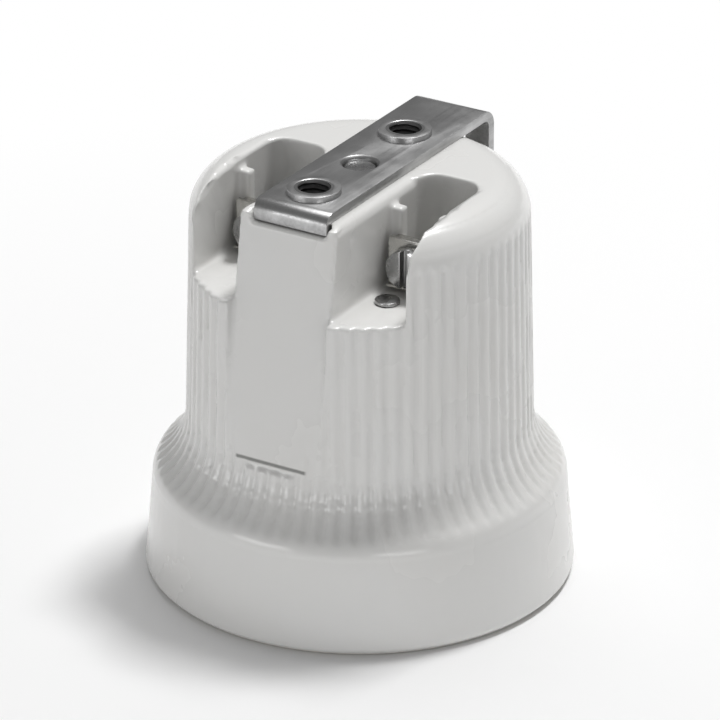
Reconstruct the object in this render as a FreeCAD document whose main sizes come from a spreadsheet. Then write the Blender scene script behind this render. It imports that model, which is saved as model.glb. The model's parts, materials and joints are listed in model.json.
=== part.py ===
"""Porcelain lamp holder for large screw lamps, with its fixing bracket.

The holder stands on its mouth. The origin is on the mouth plane at the screw axis, +Z runs up
to the bracket and +X runs along the bracket towards its long leg. Lengths are in millimetres.
"""
import FreeCAD, Part
import math
import os

import Sketcher

Vector = FreeCAD.Vector
Rotation = FreeCAD.Rotation
Placement = FreeCAD.Placement

# Driving sizes. Heights are measured up from the mouth plane, radii from the screw axis.
SIZES = {
    # Porcelain body, outside
    "rim_wall": 4.2,
    "rim_edge": 1.0,
    "rim_height": 14.5,
    "rim_draft": 1.2,
    "flare_low_radius": 4.0,
    "flare_high_radius": 10.0,
    "neck_wall": 4.8,
    "neck_taper": 0.8,
    "body_height": 61.5,
    "shoulder_radius": 6.0,
    # Fine upright flutes round the neck
    "flute_count": 72,
    "flute_width": 1.1,
    "flute_depth": 0.42,
    "flute_runout": 5.0,
    # Flat steps that stand for the rounded flare and shoulder
    "flare_low_steps": 1,
    "flare_high_steps": 2,
    "shoulder_steps": 3,
    # Flat recessed panels under the two ends of the bracket
    "panel_top_inset": 6.1,
    "panel_width": 16.0,
    "panel_knee_height": 31.0,
    "panel_knee_inset": 1.5,
    "panel_foot_height": 24.5,
    "panel_foot_inset": 0.6,
    # Mouth and lamp cavity
    "ledge_width": 2.9,
    "mouth_depth": 15.0,
    "mouth_edge": 0.5,
    "lip_recess_clearance": 0.8,
    "lip_recess_depth": 2.2,
    "web_thickness": 5.8,
    "notch_count": 4,
    "notch_width": 8.0,
    # Wire channels
    "bar_width": 16.0,
    "channel_width": 9.5,
    "channel_depth": 13.2,
    "channel_end": 5.5,
    "channel_end_radius": 3.0,
    "rib_place": -3.0,
    "rib_thickness": 2.0,
    "rib_reach": 1.9,
    "rib_drop": 1.6,
    "bar_edge": 1.4,
    # Screw shell, rolled from sheet
    "thread_major_radius": 19.8,
    "thread_minor_radius": 18.15,
    "thread_pitch": 6.35,
    "thread_lead_in": 1.8,
    "thread_lead_out": 2.1,
    "shell_sheet": 0.5,
    "shell_clearance": 0.2,
    "shell_sides": 24,
    "sections_per_turn": 5,
    "shell_lip_reach": 3.1,
    "shell_bend": 0.6,
    "shell_flange_radius": 14.0,
    "flange_gap_width": 12.0,
    "tongue_width": 7.0,
    # Fixing bracket
    "strip_width": 12.0,
    "strip_thickness": 1.5,
    "strip_bend": 1.2,
    "lip_bend": 0.3,
    "lip_set_in": 0.3,
    "leg_reach": 8.7,
    "lip_drop": 3.0,
    "lip_clearance": 0.2,
    "leg_drop": 29.0,
    "bush_spacing": 25.0,
    "bush_wall": 1.4,
    "bush_rise": 0.9,
    "bush_hole_radius": 2.5,
    "leg_hole_radius": 2.0,
    "leg_hole_rise": 6.0,
    "leg_hole_spacing": 18.2,
    # Screw that holds the bracket, driven from the lamp cavity
    "bracket_screw_radius": 2.5,
    "bracket_screw_head_radius": 4.2,
    "bracket_screw_head_height": 3.0,
    "bracket_screw_end": 0.5,
    "bracket_hole_chamfer": 0.35,
    "head_bore_clearance": 0.5,
    "washer_thickness": 1.0,
    "disc_thickness": 1.3,
    "screw_slot_width": 1.0,
    "screw_slot_depth": 1.1,
    "screw_tip": 0.4,
    "hole_clearance": 0.25,
    "bush_well_clearance": 0.5,
    "bush_well_depth": 8.0,
    # Centre contact and its spring
    "through_hole_ahead": 1.0,
    "contact_width": 14.0,
    "contact_sheet": 0.8,
    "contact_stand": 5.9,
    "contact_crown_rise": 0.9,
    "contact_crown_far": 7.6,
    "contact_crown_near": 5.2,
    "contact_foot_width": 7.0,
    "contact_foot_near": 9.0,
    "contact_tab_cover": 0.9,
    "contact_travel": 1.8,
    "contact_stop_gap": 0.2,
    "tab_slot_clearance": 0.3,
    "leaf_half_span": 8.0,
    "leaf_width": 6.0,
    "leaf_sheet": 0.5,
    "leaf_gap": 0.25,
    "contact_screw_radius": 2.0,
    "contact_screw_shoulder": 0.5,
    "contact_screw_head_radius": 3.6,
    "contact_screw_head_height": 2.0,
    "running_clearance": 0.06,
    "nut_across_flats": 7.0,
    "nut_height": 2.8,
    "lock_washer_radius": 3.4,
    "lock_washer_thickness": 0.8,
    "lock_washer_slit": 0.6,
    # Terminals
    "plate_thickness": 1.2,
    "plate_width": 8.0,
    "plate_height": 7.8,
    "plate_foot_width": 4.6,
    "plate_foot_pad_radius": 3.4,
    "terminal_collar_wall": 0.75,
    "terminal_collar_length": 1.6,
    "terminal_screw_radius": 2.0,
    "terminal_screw_head_radius": 2.9,
    "terminal_screw_head_height": 2.2,
    "terminal_screw_length": 4.4,
    "terminal_screw_height": 4.3,
    "clamp_width": 7.4,
    "clamp_thickness": 1.0,
    "clamp_lip": 0.8,
    "clamp_lip_thickness": 0.5,
    # Rivets that hold the shell
    "rivet_radius": 1.2,
    "rivet_head_radius": 1.8,
    "rivet_head_height": 0.6,
    "front_rivet_inset": 2.6,
}

doc = FreeCAD.newDocument("LampHolder")
sheet = doc.addObject("Spreadsheet::Sheet", "Sizes")


class Size:
    """A number together with the sheet expression that gives it."""

    def __init__(self, value, text):
        self.value = value
        self.text = text

    def _join(self, sign, other, value):
        other_text = other.text if isinstance(other, Size) else repr(other)
        return Size(value, "(" + self.text + " " + sign + " " + other_text + ")")

    def __add__(self, other):
        return self._join("+", other, self.value + number(other))

    def __sub__(self, other):
        return self._join("-", other, self.value - number(other))

    def __mul__(self, other):
        return self._join("*", other, self.value * number(other))

    def __truediv__(self, other):
        return self._join("/", other, self.value / number(other))

    def __neg__(self):
        return Size(-self.value, "(-1 * " + self.text + ")")


def number(item):
    """The plain value of a Size or of a number."""
    return item.value if isinstance(item, Size) else item


def root(item):
    """The square root of a Size."""
    return Size(math.sqrt(item.value), "sqrt(" + item.text + ")")


def cosine(angle):
    """The cosine of a Size in degrees."""
    return Size(math.cos(math.radians(angle.value)), "cos(" + angle.text + ")")


def sine(angle):
    """The sine of a Size in degrees."""
    return Size(math.sin(math.radians(angle.value)), "sin(" + angle.text + ")")


def angle_of(ratio):
    """The angle in degrees whose cosine is the ratio."""
    return Size(math.degrees(math.acos(ratio.value)), "acos(" + ratio.text + ")")


def write_sheet():
    """Fill the sheet, one alias for each driving size."""
    for row, (alias, value) in enumerate(SIZES.items(), start=1):
        sheet.set("A%d" % row, alias)
        sheet.set("B%d" % row, str(value))
        sheet.setAlias("B%d" % row, alias)
    doc.recompute()


def size(alias):
    """A driving size, read back from the sheet."""
    return Size(float(sheet.get(alias)), "Sizes." + alias)


write_sheet()
S = {alias: size(alias) for alias in SIZES}

# Radii that several pieces share, each from the lamp thread outwards
shell_bore_radius = S["thread_major_radius"] + S["shell_sheet"] + S["shell_clearance"]
sheet_inner_radius = (S["thread_major_radius"] + S["thread_minor_radius"]) / 2
thread_swing = (S["thread_major_radius"] - S["thread_minor_radius"]) / 2
shell_lip_radius = shell_bore_radius + S["shell_lip_reach"]
lip_recess_radius = shell_lip_radius + S["lip_recess_clearance"]
mouth_radius = lip_recess_radius + S["ledge_width"]
rim_radius = mouth_radius + S["rim_wall"]
rim_top_radius = rim_radius - S["rim_draft"]
neck_radius = shell_bore_radius + S["neck_wall"]
neck_top_radius = neck_radius - S["neck_taper"]
panel_top = neck_radius - S["panel_top_inset"]
panel_knee = neck_radius - S["panel_knee_inset"]
panel_foot = neck_radius - S["panel_foot_inset"]

# Heights that several pieces share
ledge_height = S["mouth_depth"]
recess_top = S["mouth_depth"] + S["lip_recess_depth"]
channel_floor = S["body_height"] - S["channel_depth"]
cavity_depth = channel_floor - S["web_thickness"]
thread_bottom = recess_top + S["thread_lead_in"]
thread_top = cavity_depth - S["thread_lead_out"]
neck_top = S["body_height"] - S["shoulder_radius"]
strip_top = S["body_height"] + S["strip_thickness"]
foot_top = channel_floor + S["plate_thickness"]
terminal_axis = channel_floor + S["terminal_screw_height"]

# The double curve that joins rim and neck
flare_sum = S["flare_low_radius"] + S["flare_high_radius"]
flare_drop = rim_top_radius - neck_radius
flare_rest = flare_sum - flare_drop
flare_height = root(flare_sum * flare_sum - flare_rest * flare_rest)
flare_turn = angle_of(flare_rest / flare_sum)
neck_bottom = S["rim_height"] + flare_height
flute_reach = S["flute_width"] / (neck_radius * 2)
quarter_turn = Size(90.0, "90 deg")
half_turn = Size(180.0, "180 deg")
no_turn = Size(0.0, "0 deg")
flute_sweep = (quarter_turn - angle_of(flute_reach)) * 2

# Places across the top, for bracket, channels, holes and contact
bar_half = S["bar_width"] / 2
channel_outer = bar_half + S["channel_width"]
channel_middle = bar_half + S["channel_width"] / 2
rib_front = S["rib_place"] - S["rib_thickness"]
strip_near_end = panel_top - S["lip_set_in"]
strip_far_end = panel_top + S["leg_reach"]
bush_place = S["bush_spacing"] / 2
bush_radius = S["bush_hole_radius"] + S["bush_wall"]
bush_well_radius = S["bush_hole_radius"] + S["bush_well_clearance"]
head_bore_radius = S["bracket_screw_head_radius"] + S["head_bore_clearance"]
head_bore_depth = S["disc_thickness"] + S["bracket_screw_head_height"] + S["washer_thickness"]
contact_hole_radius = S["contact_screw_radius"] + S["hole_clearance"]
shoulder_radius = S["contact_screw_radius"] + S["contact_screw_shoulder"]
collar_radius = S["terminal_screw_radius"] + S["terminal_collar_wall"]
rivet_hole_radius = S["rivet_radius"] + S["hole_clearance"]
front_rivet_place = S["shell_flange_radius"] - S["front_rivet_inset"]
contact_foot_top = cavity_depth - S["contact_travel"] - S["contact_stop_gap"]
contact_foot_bottom = contact_foot_top - S["contact_sheet"]
crown_outside = cavity_depth - S["contact_stand"]
crown_inside = crown_outside + S["contact_sheet"]
tab_outer = S["contact_crown_far"] + S["contact_sheet"]
tab_top = cavity_depth + S["contact_tab_cover"]
slot_depth = S["contact_tab_cover"] + S["contact_travel"] + S["tab_slot_clearance"] * 2
shoulder_bottom = contact_foot_bottom - S["running_clearance"]


# Small tools for bodies, sketches and features

def new_body(label):
    """An empty body whose label is the node's name."""
    body = doc.addObject("PartDesign::Body", label)
    body.Label = label
    return body


def plane(body, role):
    """One of the body's own origin planes or axes."""
    return [item for item in body.Origin.OriginFeatures if item.Role == role][0]


def new_sketch(body, name, role, level=None):
    """A sketch on an origin plane, lifted along the plane's normal by level."""
    drawing = body.newObject("Sketcher::SketchObject", name)
    drawing.AttachmentSupport = [(plane(body, role), "")]
    drawing.MapMode = "FlatFace"
    if level is not None:
        drawing.AttachmentOffset = Placement(Vector(0, 0, level.value), Rotation())
        drawing.setExpression("AttachmentOffset.Base.z", level.text)
    return drawing


def bind(drawing, kind, geometry, vertex, amount):
    """Hold one coordinate of a vertex at a Size, or on the axis when it is zero."""
    if not isinstance(amount, Size):
        axis = -2 if kind == "DistanceX" else -1
        drawing.addConstraint(Sketcher.Constraint("PointOnObject", geometry, vertex, axis))
        return
    index = drawing.addConstraint(Sketcher.Constraint(kind, -1, 1, geometry, vertex, amount.value))
    drawing.setExpression("Constraints[%d]" % index, amount.text)


def arc_between(start, end, radius, bulge):
    """The arc from start to end. bulge is 1 when it turns left on the way and -1 when right."""
    chord = end - start
    middle = (start + end) * 0.5
    sagitta_leg = math.sqrt(max(radius * radius - (chord.Length / 2) ** 2, 0))
    normal = Vector(-chord.y, chord.x, 0).normalize()
    centre = middle + normal * sagitta_leg * bulge
    first, last = (start, end) if bulge > 0 else (end, start)
    first_angle = math.atan2(first.y - centre.y, first.x - centre.x)
    last_angle = math.atan2(last.y - centre.y, last.x - centre.x)
    if last_angle <= first_angle:
        last_angle += 2 * math.pi
    return Part.ArcOfCircle(Part.Circle(centre, Vector(0, 0, 1), radius), first_angle, last_angle)


def outline(drawing, *corners, closed=True):
    """Lines and arcs through the corners.

    A corner is (x, y), reached by a line, or (x, y, radius, bulge), reached by an arc. The first
    corner's arc, if it has one, closes the outline. Every corner is held by its two coordinates.
    """
    count = len(corners)
    steps = count if closed else count - 1
    ends = []
    for index in range(steps):
        here = corners[index]
        there = corners[(index + 1) % count]
        start = Vector(number(here[0]), number(here[1]), 0)
        end = Vector(number(there[0]), number(there[1]), 0)
        if len(there) == 2:
            ends.append((drawing.addGeometry(Part.LineSegment(start, end)), 1, 2))
        else:
            arc = arc_between(start, end, number(there[2]), there[3])
            geometry = drawing.addGeometry(arc)
            ends.append((geometry, 1, 2) if there[3] > 0 else (geometry, 2, 1))
    for index in range(steps):
        geometry, start_vertex, end_vertex = ends[index]
        bind(drawing, "DistanceX", geometry, start_vertex, corners[index][0])
        bind(drawing, "DistanceY", geometry, start_vertex, corners[index][1])
        if index + 1 < steps or closed:
            following, following_start, _ = ends[(index + 1) % steps]
            drawing.addConstraint(
                Sketcher.Constraint("Coincident", geometry, end_vertex, following, following_start))
        else:
            bind(drawing, "DistanceX", geometry, end_vertex, corners[index + 1][0])
            bind(drawing, "DistanceY", geometry, end_vertex, corners[index + 1][1])
        there = corners[(index + 1) % count]
        if len(there) == 4:
            constraint = Sketcher.Constraint("Radius", geometry, number(there[2]))
            place = drawing.addConstraint(constraint)
            drawing.setExpression("Constraints[%d]" % place, there[2].text)
    return drawing


def curve(centre_x, centre_y, radius, first, last, steps):
    """Corners along an arc between two angles, both ends among them, in equal steps."""
    corners = []
    for step in range(int(steps.value) + 1):
        angle = first + (last - first) * step / steps
        corners.append((centre_x + radius * cosine(angle), centre_y + radius * sine(angle)))
    return corners


def circle(drawing, x, y, radius):
    """A circle held by its centre and radius."""
    centre = Vector(number(x), number(y), 0)
    geometry = drawing.addGeometry(Part.Circle(centre, Vector(0, 0, 1), radius.value))
    bind(drawing, "DistanceX", geometry, 3, x)
    bind(drawing, "DistanceY", geometry, 3, y)
    place = drawing.addConstraint(Sketcher.Constraint("Radius", geometry, radius.value))
    drawing.setExpression("Constraints[%d]" % place, radius.text)
    return drawing


def rectangle(drawing, left, low, right, high):
    """A rectangle between two corners."""
    return outline(drawing, (left, low), (right, low), (right, high), (left, high))


def feature(body, kind, name, drawing):
    """A sketch-based feature of the body."""
    item = body.newObject(kind, name)
    item.Profile = drawing
    drawing.Visibility = False
    return item


def pad(body, name, drawing, length, symmetric=False, down=False):
    """Add the sketch's area along its normal."""
    item = feature(body, "PartDesign::Pad", name, drawing)
    item.setExpression("Length", length.text)
    item.Length = length.value
    item.SideType = "Symmetric" if symmetric else "One side"
    item.Reversed = down
    doc.recompute()
    return item


def pocket(body, name, drawing, length, symmetric=False, up=False):
    """Remove the sketch's area against its normal, or along it when up is true."""
    item = feature(body, "PartDesign::Pocket", name, drawing)
    item.setExpression("Length", length.text)
    item.Length = length.value
    item.SideType = "Symmetric" if symmetric else "One side"
    item.Reversed = up
    doc.recompute()
    return item


def turn(body, name, drawing, cut=False, sweep=None):
    """Revolve the sketch about the body's Z axis, as material or as a cut.

    It goes right round, or by half of the sweep to each side of the sketch.
    """
    kind = "PartDesign::Groove" if cut else "PartDesign::Revolution"
    item = feature(body, kind, name, drawing)
    item.ReferenceAxis = (plane(body, "Z_Axis"), [""])
    item.Angle = 360.0
    if sweep is not None:
        item.Angle = sweep.value
        item.setExpression("Angle", sweep.text)
        item.Midplane = True
    doc.recompute()
    return item


def mirrored(body, name, originals, role="XZ_Plane"):
    """Repeat features across an origin plane of the body."""
    item = body.newObject("PartDesign::Mirrored", name)
    item.Originals = originals
    item.MirrorPlane = (plane(body, role), [""])
    body.Tip = item
    doc.recompute()
    return item


def around(body, name, originals, count):
    """Repeat features in equal steps round the body's Z axis."""
    item = body.newObject("PartDesign::PolarPattern", name)
    item.Originals = originals
    item.Axis = (plane(body, "Z_Axis"), [""])
    item.Angle = 360.0
    item.Occurrences = int(count.value)
    item.setExpression("Occurrences", count.text)
    body.Tip = item
    doc.recompute()
    return item


def edges_where(shape, test):
    """Names of the edges whose middle point passes the test."""
    names = []
    for index, edge in enumerate(shape.Edges, start=1):
        middle = edge.valueAt((edge.FirstParameter + edge.LastParameter) / 2)
        if test(edge, middle):
            names.append("Edge%d" % index)
    return names


def chamfer(body, name, test, amount):
    """Chamfer the edges of the body's tip that pass the test."""
    base = body.Tip
    item = body.newObject("PartDesign::Chamfer", name)
    item.Base = (base, edges_where(base.Shape, test))
    item.Size = amount.value
    item.setExpression("Size", amount.text)
    doc.recompute()
    return item


def near(first, second):
    """Whether two numbers are the same length for finding an edge."""
    return abs(number(first) - number(second)) < 0.02


# Pieces

def make_porcelain_body():
    """Glazed porcelain body: turned form, flutes, panels, wire channels and holes."""
    body = new_body("porcelain_body")
    hollow_centre = neck_radius + S["flare_high_radius"]
    flare_high = curve(hollow_centre, neck_bottom, S["flare_high_radius"],
                       half_turn + flare_turn, half_turn, S["flare_high_steps"])
    form = new_sketch(body, "BodyProfile", "XZ_Plane")
    outline(
        form,
        (0, cavity_depth),
        (shell_bore_radius, cavity_depth),
        (shell_bore_radius, recess_top),
        (lip_recess_radius, recess_top),
        (lip_recess_radius, ledge_height),
        (mouth_radius, ledge_height),
        (mouth_radius, S["mouth_edge"]),
        (mouth_radius + S["mouth_edge"], 0),
        (rim_radius - S["rim_edge"], 0),
        (rim_radius, S["rim_edge"]),
        *curve(rim_top_radius - S["flare_low_radius"], S["rim_height"], S["flare_low_radius"],
               no_turn, flare_turn, S["flare_low_steps"]),
        *flare_high[1:],
        *curve(neck_top_radius - S["shoulder_radius"], neck_top, S["shoulder_radius"],
               no_turn, quarter_turn, S["shoulder_steps"]),
        (0, S["body_height"]),
    )
    turn(body, "TurnedForm", form)

    beyond = rim_radius + S["rim_edge"]
    above = S["body_height"] + S["strip_thickness"]
    for end, sign in (("Far", 1), ("Near", -1)):
        side = (lambda amount: amount) if sign > 0 else (lambda amount: -amount)
        panel = new_sketch(body, end + "Panel", "XZ_Plane")
        outline(
            panel,
            (side(panel_top), above),
            (side(panel_top), S["body_height"]),
            (side(panel_knee), S["panel_knee_height"]),
            (side(panel_foot), S["panel_foot_height"]),
            (side(beyond), S["panel_foot_height"]),
            (side(beyond), above),
        )
        pocket(body, end + "PanelCut", panel, S["panel_width"], symmetric=True)

    rib_out = rib_front
    cut_height = above - channel_floor
    rib_top = S["body_height"] - S["rib_drop"]
    end_radius = S["channel_end_radius"]
    upper = new_sketch(body, "ChannelTop", "XY_Plane", rib_top)
    outline(
        upper,
        (-beyond, -channel_outer),
        (S["channel_end"] - end_radius, -channel_outer),
        (S["channel_end"], -channel_outer + end_radius, end_radius, 1),
        (S["channel_end"], -bar_half - end_radius),
        (S["channel_end"] - end_radius, -bar_half, end_radius, 1),
        (-beyond, -bar_half),
    )
    upper_cut = pocket(body, "ChannelTopCut", upper, above - rib_top, up=True)
    lower = new_sketch(body, "Channel", "XY_Plane", channel_floor)
    outer_rib = -channel_outer + S["rib_reach"]
    inner_rib = -bar_half - S["rib_reach"]
    outline(
        lower,
        (-beyond, -channel_outer),
        (rib_out, -channel_outer),
        (rib_out, outer_rib),
        (S["rib_place"], outer_rib),
        (S["rib_place"], -channel_outer),
        (S["channel_end"] - end_radius, -channel_outer),
        (S["channel_end"], -channel_outer + end_radius, end_radius, 1),
        (S["channel_end"], -bar_half - end_radius),
        (S["channel_end"] - end_radius, -bar_half, end_radius, 1),
        (S["rib_place"], -bar_half),
        (S["rib_place"], inner_rib),
        (rib_out, inner_rib),
        (rib_out, -bar_half),
        (-beyond, -bar_half),
    )
    lower_cut = pocket(body, "ChannelCut", lower, cut_height, up=True)
    mirrored(body, "BothChannels", [upper_cut, lower_cut])

    rebate = new_sketch(body, "LipRebate", "XZ_Plane")
    rebate_inner = strip_near_end - S["strip_thickness"] - S["lip_clearance"]
    rebate_low = strip_top - S["lip_drop"] - S["lip_clearance"]
    rectangle(rebate, -beyond, rebate_low, -rebate_inner, above)
    pocket(body, "LipRebateCut", rebate, S["strip_width"] + S["lip_clearance"] * 2, symmetric=True)

    notch = new_sketch(body, "LedgeNotch", "XY_Plane", ledge_height)
    half_notch = S["notch_width"] / 2
    rectangle(notch, shell_bore_radius + S["shell_clearance"], -half_notch,
              mouth_radius - S["mouth_edge"], half_notch)
    notch_cut = pocket(body, "LedgeNotchCut", notch, S["lip_recess_depth"], up=True)
    around(body, "LedgeNotches", [notch_cut], S["notch_count"])

    bore = new_sketch(body, "HeadBore", "XY_Plane", cavity_depth)
    circle(bore, 0, 0, head_bore_radius)
    pocket(body, "HeadBoreCut", bore, head_bore_depth, up=True)
    centre = new_sketch(body, "BracketScrewHole", "XY_Plane", cavity_depth)
    circle(centre, 0, 0, S["bracket_screw_radius"] + S["hole_clearance"])
    pocket(body, "BracketScrewHoleCut", centre, above - cavity_depth, up=True)

    wells = new_sketch(body, "BushWells", "XY_Plane", S["body_height"] - S["bush_well_depth"])
    circle(wells, bush_place, 0, bush_well_radius)
    circle(wells, -bush_place, 0, bush_well_radius)
    pocket(body, "BushWellsCut", wells, S["bush_well_depth"] + S["strip_thickness"], up=True)

    web = new_sketch(body, "WebHoles", "XY_Plane", cavity_depth)
    circle(web, S["through_hole_ahead"], channel_middle, contact_hole_radius)
    circle(web, S["through_hole_ahead"], -channel_middle, rivet_hole_radius)
    circle(web, -front_rivet_place, front_rivet_place, rivet_hole_radius)
    circle(web, -front_rivet_place, -front_rivet_place, rivet_hole_radius)
    pocket(body, "WebHolesCut", web, foot_top - cavity_depth, up=True)

    tab = new_sketch(body, "TabSlot", "XY_Plane", cavity_depth)
    tab_half = S["contact_width"] / 2 + S["tab_slot_clearance"]
    rectangle(tab, -tab_half, -tab_outer - S["tab_slot_clearance"],
              tab_half, -S["contact_crown_far"] + S["tab_slot_clearance"])
    pocket(body, "TabSlotCut", tab, slot_depth, up=True)

    rounding = new_sketch(body, "BarEdge", "YZ_Plane", S["channel_end"] - end_radius)
    edge = S["bar_edge"]
    outline(
        rounding,
        (-bar_half, S["body_height"] - edge),
        (edge - bar_half, S["body_height"], edge, -1),
        (edge - bar_half, above),
        (-bar_half - edge, above),
        (-bar_half - edge, S["body_height"] - edge),
    )
    edge_cut = pocket(body, "BarEdgeCut", rounding, beyond + S["channel_end"])
    mirrored(body, "BothBarEdges", [edge_cut])

    depth = S["flute_depth"]
    flute_floor = curve(hollow_centre, neck_bottom, S["flare_high_radius"] + depth,
                        half_turn, half_turn + flare_turn, S["flare_high_steps"])
    foot_x, foot_z = flute_floor[-1]
    runout_x = foot_x + S["flute_runout"] * sine(flare_turn)
    runout_z = foot_z - S["flute_runout"] * cosine(flare_turn)
    flute = new_sketch(body, "Flute", "XZ_Plane")
    outline(
        flute,
        (neck_top_radius - depth, above),
        (neck_top_radius - depth, neck_top),
        *flute_floor,
        (runout_x, runout_z),
        (beyond, runout_z),
        (beyond, above),
    )
    flute_cut = turn(body, "FluteCut", flute, cut=True, sweep=flute_sweep)
    around(body, "Flutes", [flute_cut], S["flute_count"])
    return body


def bent_strip_profile(drawing):
    """Side view of the folded bracket strip: short lip, long top, long leg."""
    inner = S["strip_bend"]
    outer = S["strip_bend"] + S["strip_thickness"]
    near_out = -strip_near_end
    near_in = near_out + S["strip_thickness"]
    far_out = strip_far_end
    far_in = far_out - S["strip_thickness"]
    lip_low = strip_top - S["lip_drop"]
    leg_low = strip_top - S["leg_drop"]
    under = S["body_height"]
    lip_inner = S["lip_bend"]
    lip_outer = lip_inner + S["strip_thickness"]
    outline(
        drawing,
        (near_out, lip_low),
        (near_in, lip_low),
        (near_in, under - lip_inner),
        (near_in + lip_inner, under, lip_inner, -1),
        (far_in - inner, under),
        (far_in, under - inner, inner, -1),
        (far_in, leg_low),
        (far_out, leg_low),
        (far_out, strip_top - outer),
        (far_out - outer, strip_top, outer, 1),
        (near_out + lip_outer, strip_top),
        (near_out, strip_top - lip_outer, lip_outer, 1),
    )


def make_fixing_bracket():
    """Folded steel strip with two drawn and tapped bushes, a centre hole and two leg holes."""
    body = new_body("fixing_bracket")
    side = new_sketch(body, "StripProfile", "XZ_Plane")
    bent_strip_profile(side)
    pad(body, "FoldedStrip", side, S["strip_width"], symmetric=True)
    bushes = new_sketch(body, "Bushes", "XY_Plane", strip_top)
    circle(bushes, bush_place, 0, bush_radius)
    circle(bushes, -bush_place, 0, bush_radius)
    pad(body, "BushRise", bushes, S["bush_rise"])
    holes = new_sketch(body, "BushHoles", "XY_Plane", strip_top + S["bush_rise"])
    circle(holes, bush_place, 0, S["bush_hole_radius"])
    circle(holes, -bush_place, 0, S["bush_hole_radius"])
    circle(holes, 0, 0, S["bracket_screw_radius"])
    pocket(body, "BushHolesCut", holes, S["bush_rise"] + S["strip_thickness"] * 2)
    leg = new_sketch(body, "LegHoles", "YZ_Plane", strip_far_end)
    leg_low = strip_top - S["leg_drop"]
    low_hole = leg_low + S["leg_hole_rise"]
    circle(leg, 0, low_hole, S["leg_hole_radius"])
    circle(leg, 0, low_hole + S["leg_hole_spacing"], S["leg_hole_radius"])
    pocket(body, "LegHolesCut", leg, S["strip_thickness"] * 2)

    def bush_rim(edge, middle):
        return (near(middle.z, strip_top + S["bush_rise"])
                and near(edge.Curve.Radius, S["bush_hole_radius"]))
    chamfer(body, "BushEdges", bush_rim, S["bracket_hole_chamfer"])

    def centre_rim(edge, middle):
        away = math.hypot(middle.x, middle.y)
        return near(middle.z, strip_top) and near(away, S["bracket_screw_radius"])
    chamfer(body, "CentreHoleEdge", centre_rim, S["bracket_hole_chamfer"])
    return body


def headed_screw(label, radius, length, head_radius, head_height, slot_width, slot_depth):
    """Cheese-head screw along Z: the head below zero with its slot, the shank above."""
    body = new_body(label)
    profile = new_sketch(body, "Profile", "XZ_Plane")
    tip = S["screw_tip"]
    outline(
        profile,
        (0, -head_height),
        (head_radius, -head_height),
        (head_radius, 0),
        (radius, 0),
        (radius, length - tip),
        (radius - tip, length),
        (0, length),
    )
    turn(body, "Screw", profile)
    slot = new_sketch(body, "Slot", "XY_Plane", -head_height)
    rectangle(slot, -head_radius - tip, -slot_width / 2, head_radius + tip, slot_width / 2)
    pocket(body, "SlotCut", slot, slot_depth, up=True)
    return body


def place(item, x, y, z, rotation=None):
    """Set a piece down at a point, with its coordinates bound to the sheet."""
    turned = rotation if rotation is not None else Rotation()
    item.Placement = Placement(Vector(number(x), number(y), number(z)), turned)
    for axis, amount in (("x", x), ("y", y), ("z", z)):
        if isinstance(amount, Size):
            item.setExpression("Placement.Base." + axis, amount.text)


def ring(label, inner_radius, outer_radius, height):
    """A flat washer or disc along Z, standing on zero."""
    body = new_body(label)
    drawing = new_sketch(body, "Ring", "XY_Plane")
    circle(drawing, 0, 0, outer_radius)
    if inner_radius is not None:
        circle(drawing, 0, 0, inner_radius)
    pad(body, "RingPad", drawing, height)
    return body


def make_bracket_screw():
    """Screw up through the porcelain bar into the bracket, its washer and its insulating disc."""
    head_top = cavity_depth + S["disc_thickness"] + S["bracket_screw_head_height"]
    length = strip_top - S["bracket_screw_end"] - head_top
    screw = headed_screw("bracket_screw", S["bracket_screw_radius"], length,
                         S["bracket_screw_head_radius"], S["bracket_screw_head_height"],
                         S["screw_slot_width"], S["screw_slot_depth"])
    place(screw, 0, 0, head_top)
    washer = ring("bracket_screw_washer", S["bracket_screw_radius"] + S["running_clearance"],
                  head_bore_radius - S["running_clearance"], S["washer_thickness"])
    place(washer, 0, 0, head_top)
    disc = ring("insulating_disc", None, head_bore_radius - S["running_clearance"],
                S["disc_thickness"])
    place(disc, 0, 0, cavity_depth)
    return [screw, washer, disc]


def shell_ring(height, radius):
    """Corners of one many-sided ring of the shell. Its centre runs round in the thread.

    The swing grows from nothing over the first half turn and dies away over the last, so the
    thread runs out into a plain collar at both ends.
    """
    pitch = S["thread_pitch"].value
    bottom = thread_bottom.value
    top = thread_top.value
    fade = min(1.0, (height - bottom) / (pitch / 2), (top - height) / (pitch / 2))
    swing = thread_swing.value * math.sin(max(fade, 0.0) * math.pi / 2)
    angle = 2 * math.pi * (height - bottom) / pitch
    centre = Vector(swing * math.cos(angle), swing * math.sin(angle), height)
    sides = int(S["shell_sides"].value)
    corners = []
    for side in range(sides):
        turned = 2 * math.pi * side / sides
        corners.append(centre + Vector(math.cos(turned), math.sin(turned), 0) * radius)
    return corners


def flat_face(corners):
    """The flat face inside a closed line through the corners."""
    return Part.Face(Part.makePolygon(corners + corners[:1]))


def shell_form(rings):
    """Solid through many-sided rings, given as heights with their radii.

    Two rings of one radius differ by a shift alone, and rings of different radii share their
    centre, so every face between them is flat.
    """
    loops = [shell_ring(height, radius) for height, radius in rings]
    faces = [flat_face(loops[0]), flat_face(loops[-1])]
    for lower, upper in zip(loops, loops[1:]):
        for side, corner in enumerate(lower):
            after = (side + 1) % len(lower)
            faces.append(flat_face([corner, lower[after], upper[after], upper[side]]))
    skin = Part.makeShell(faces)
    skin.sewShape()
    return Part.makeSolid(skin)


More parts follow.
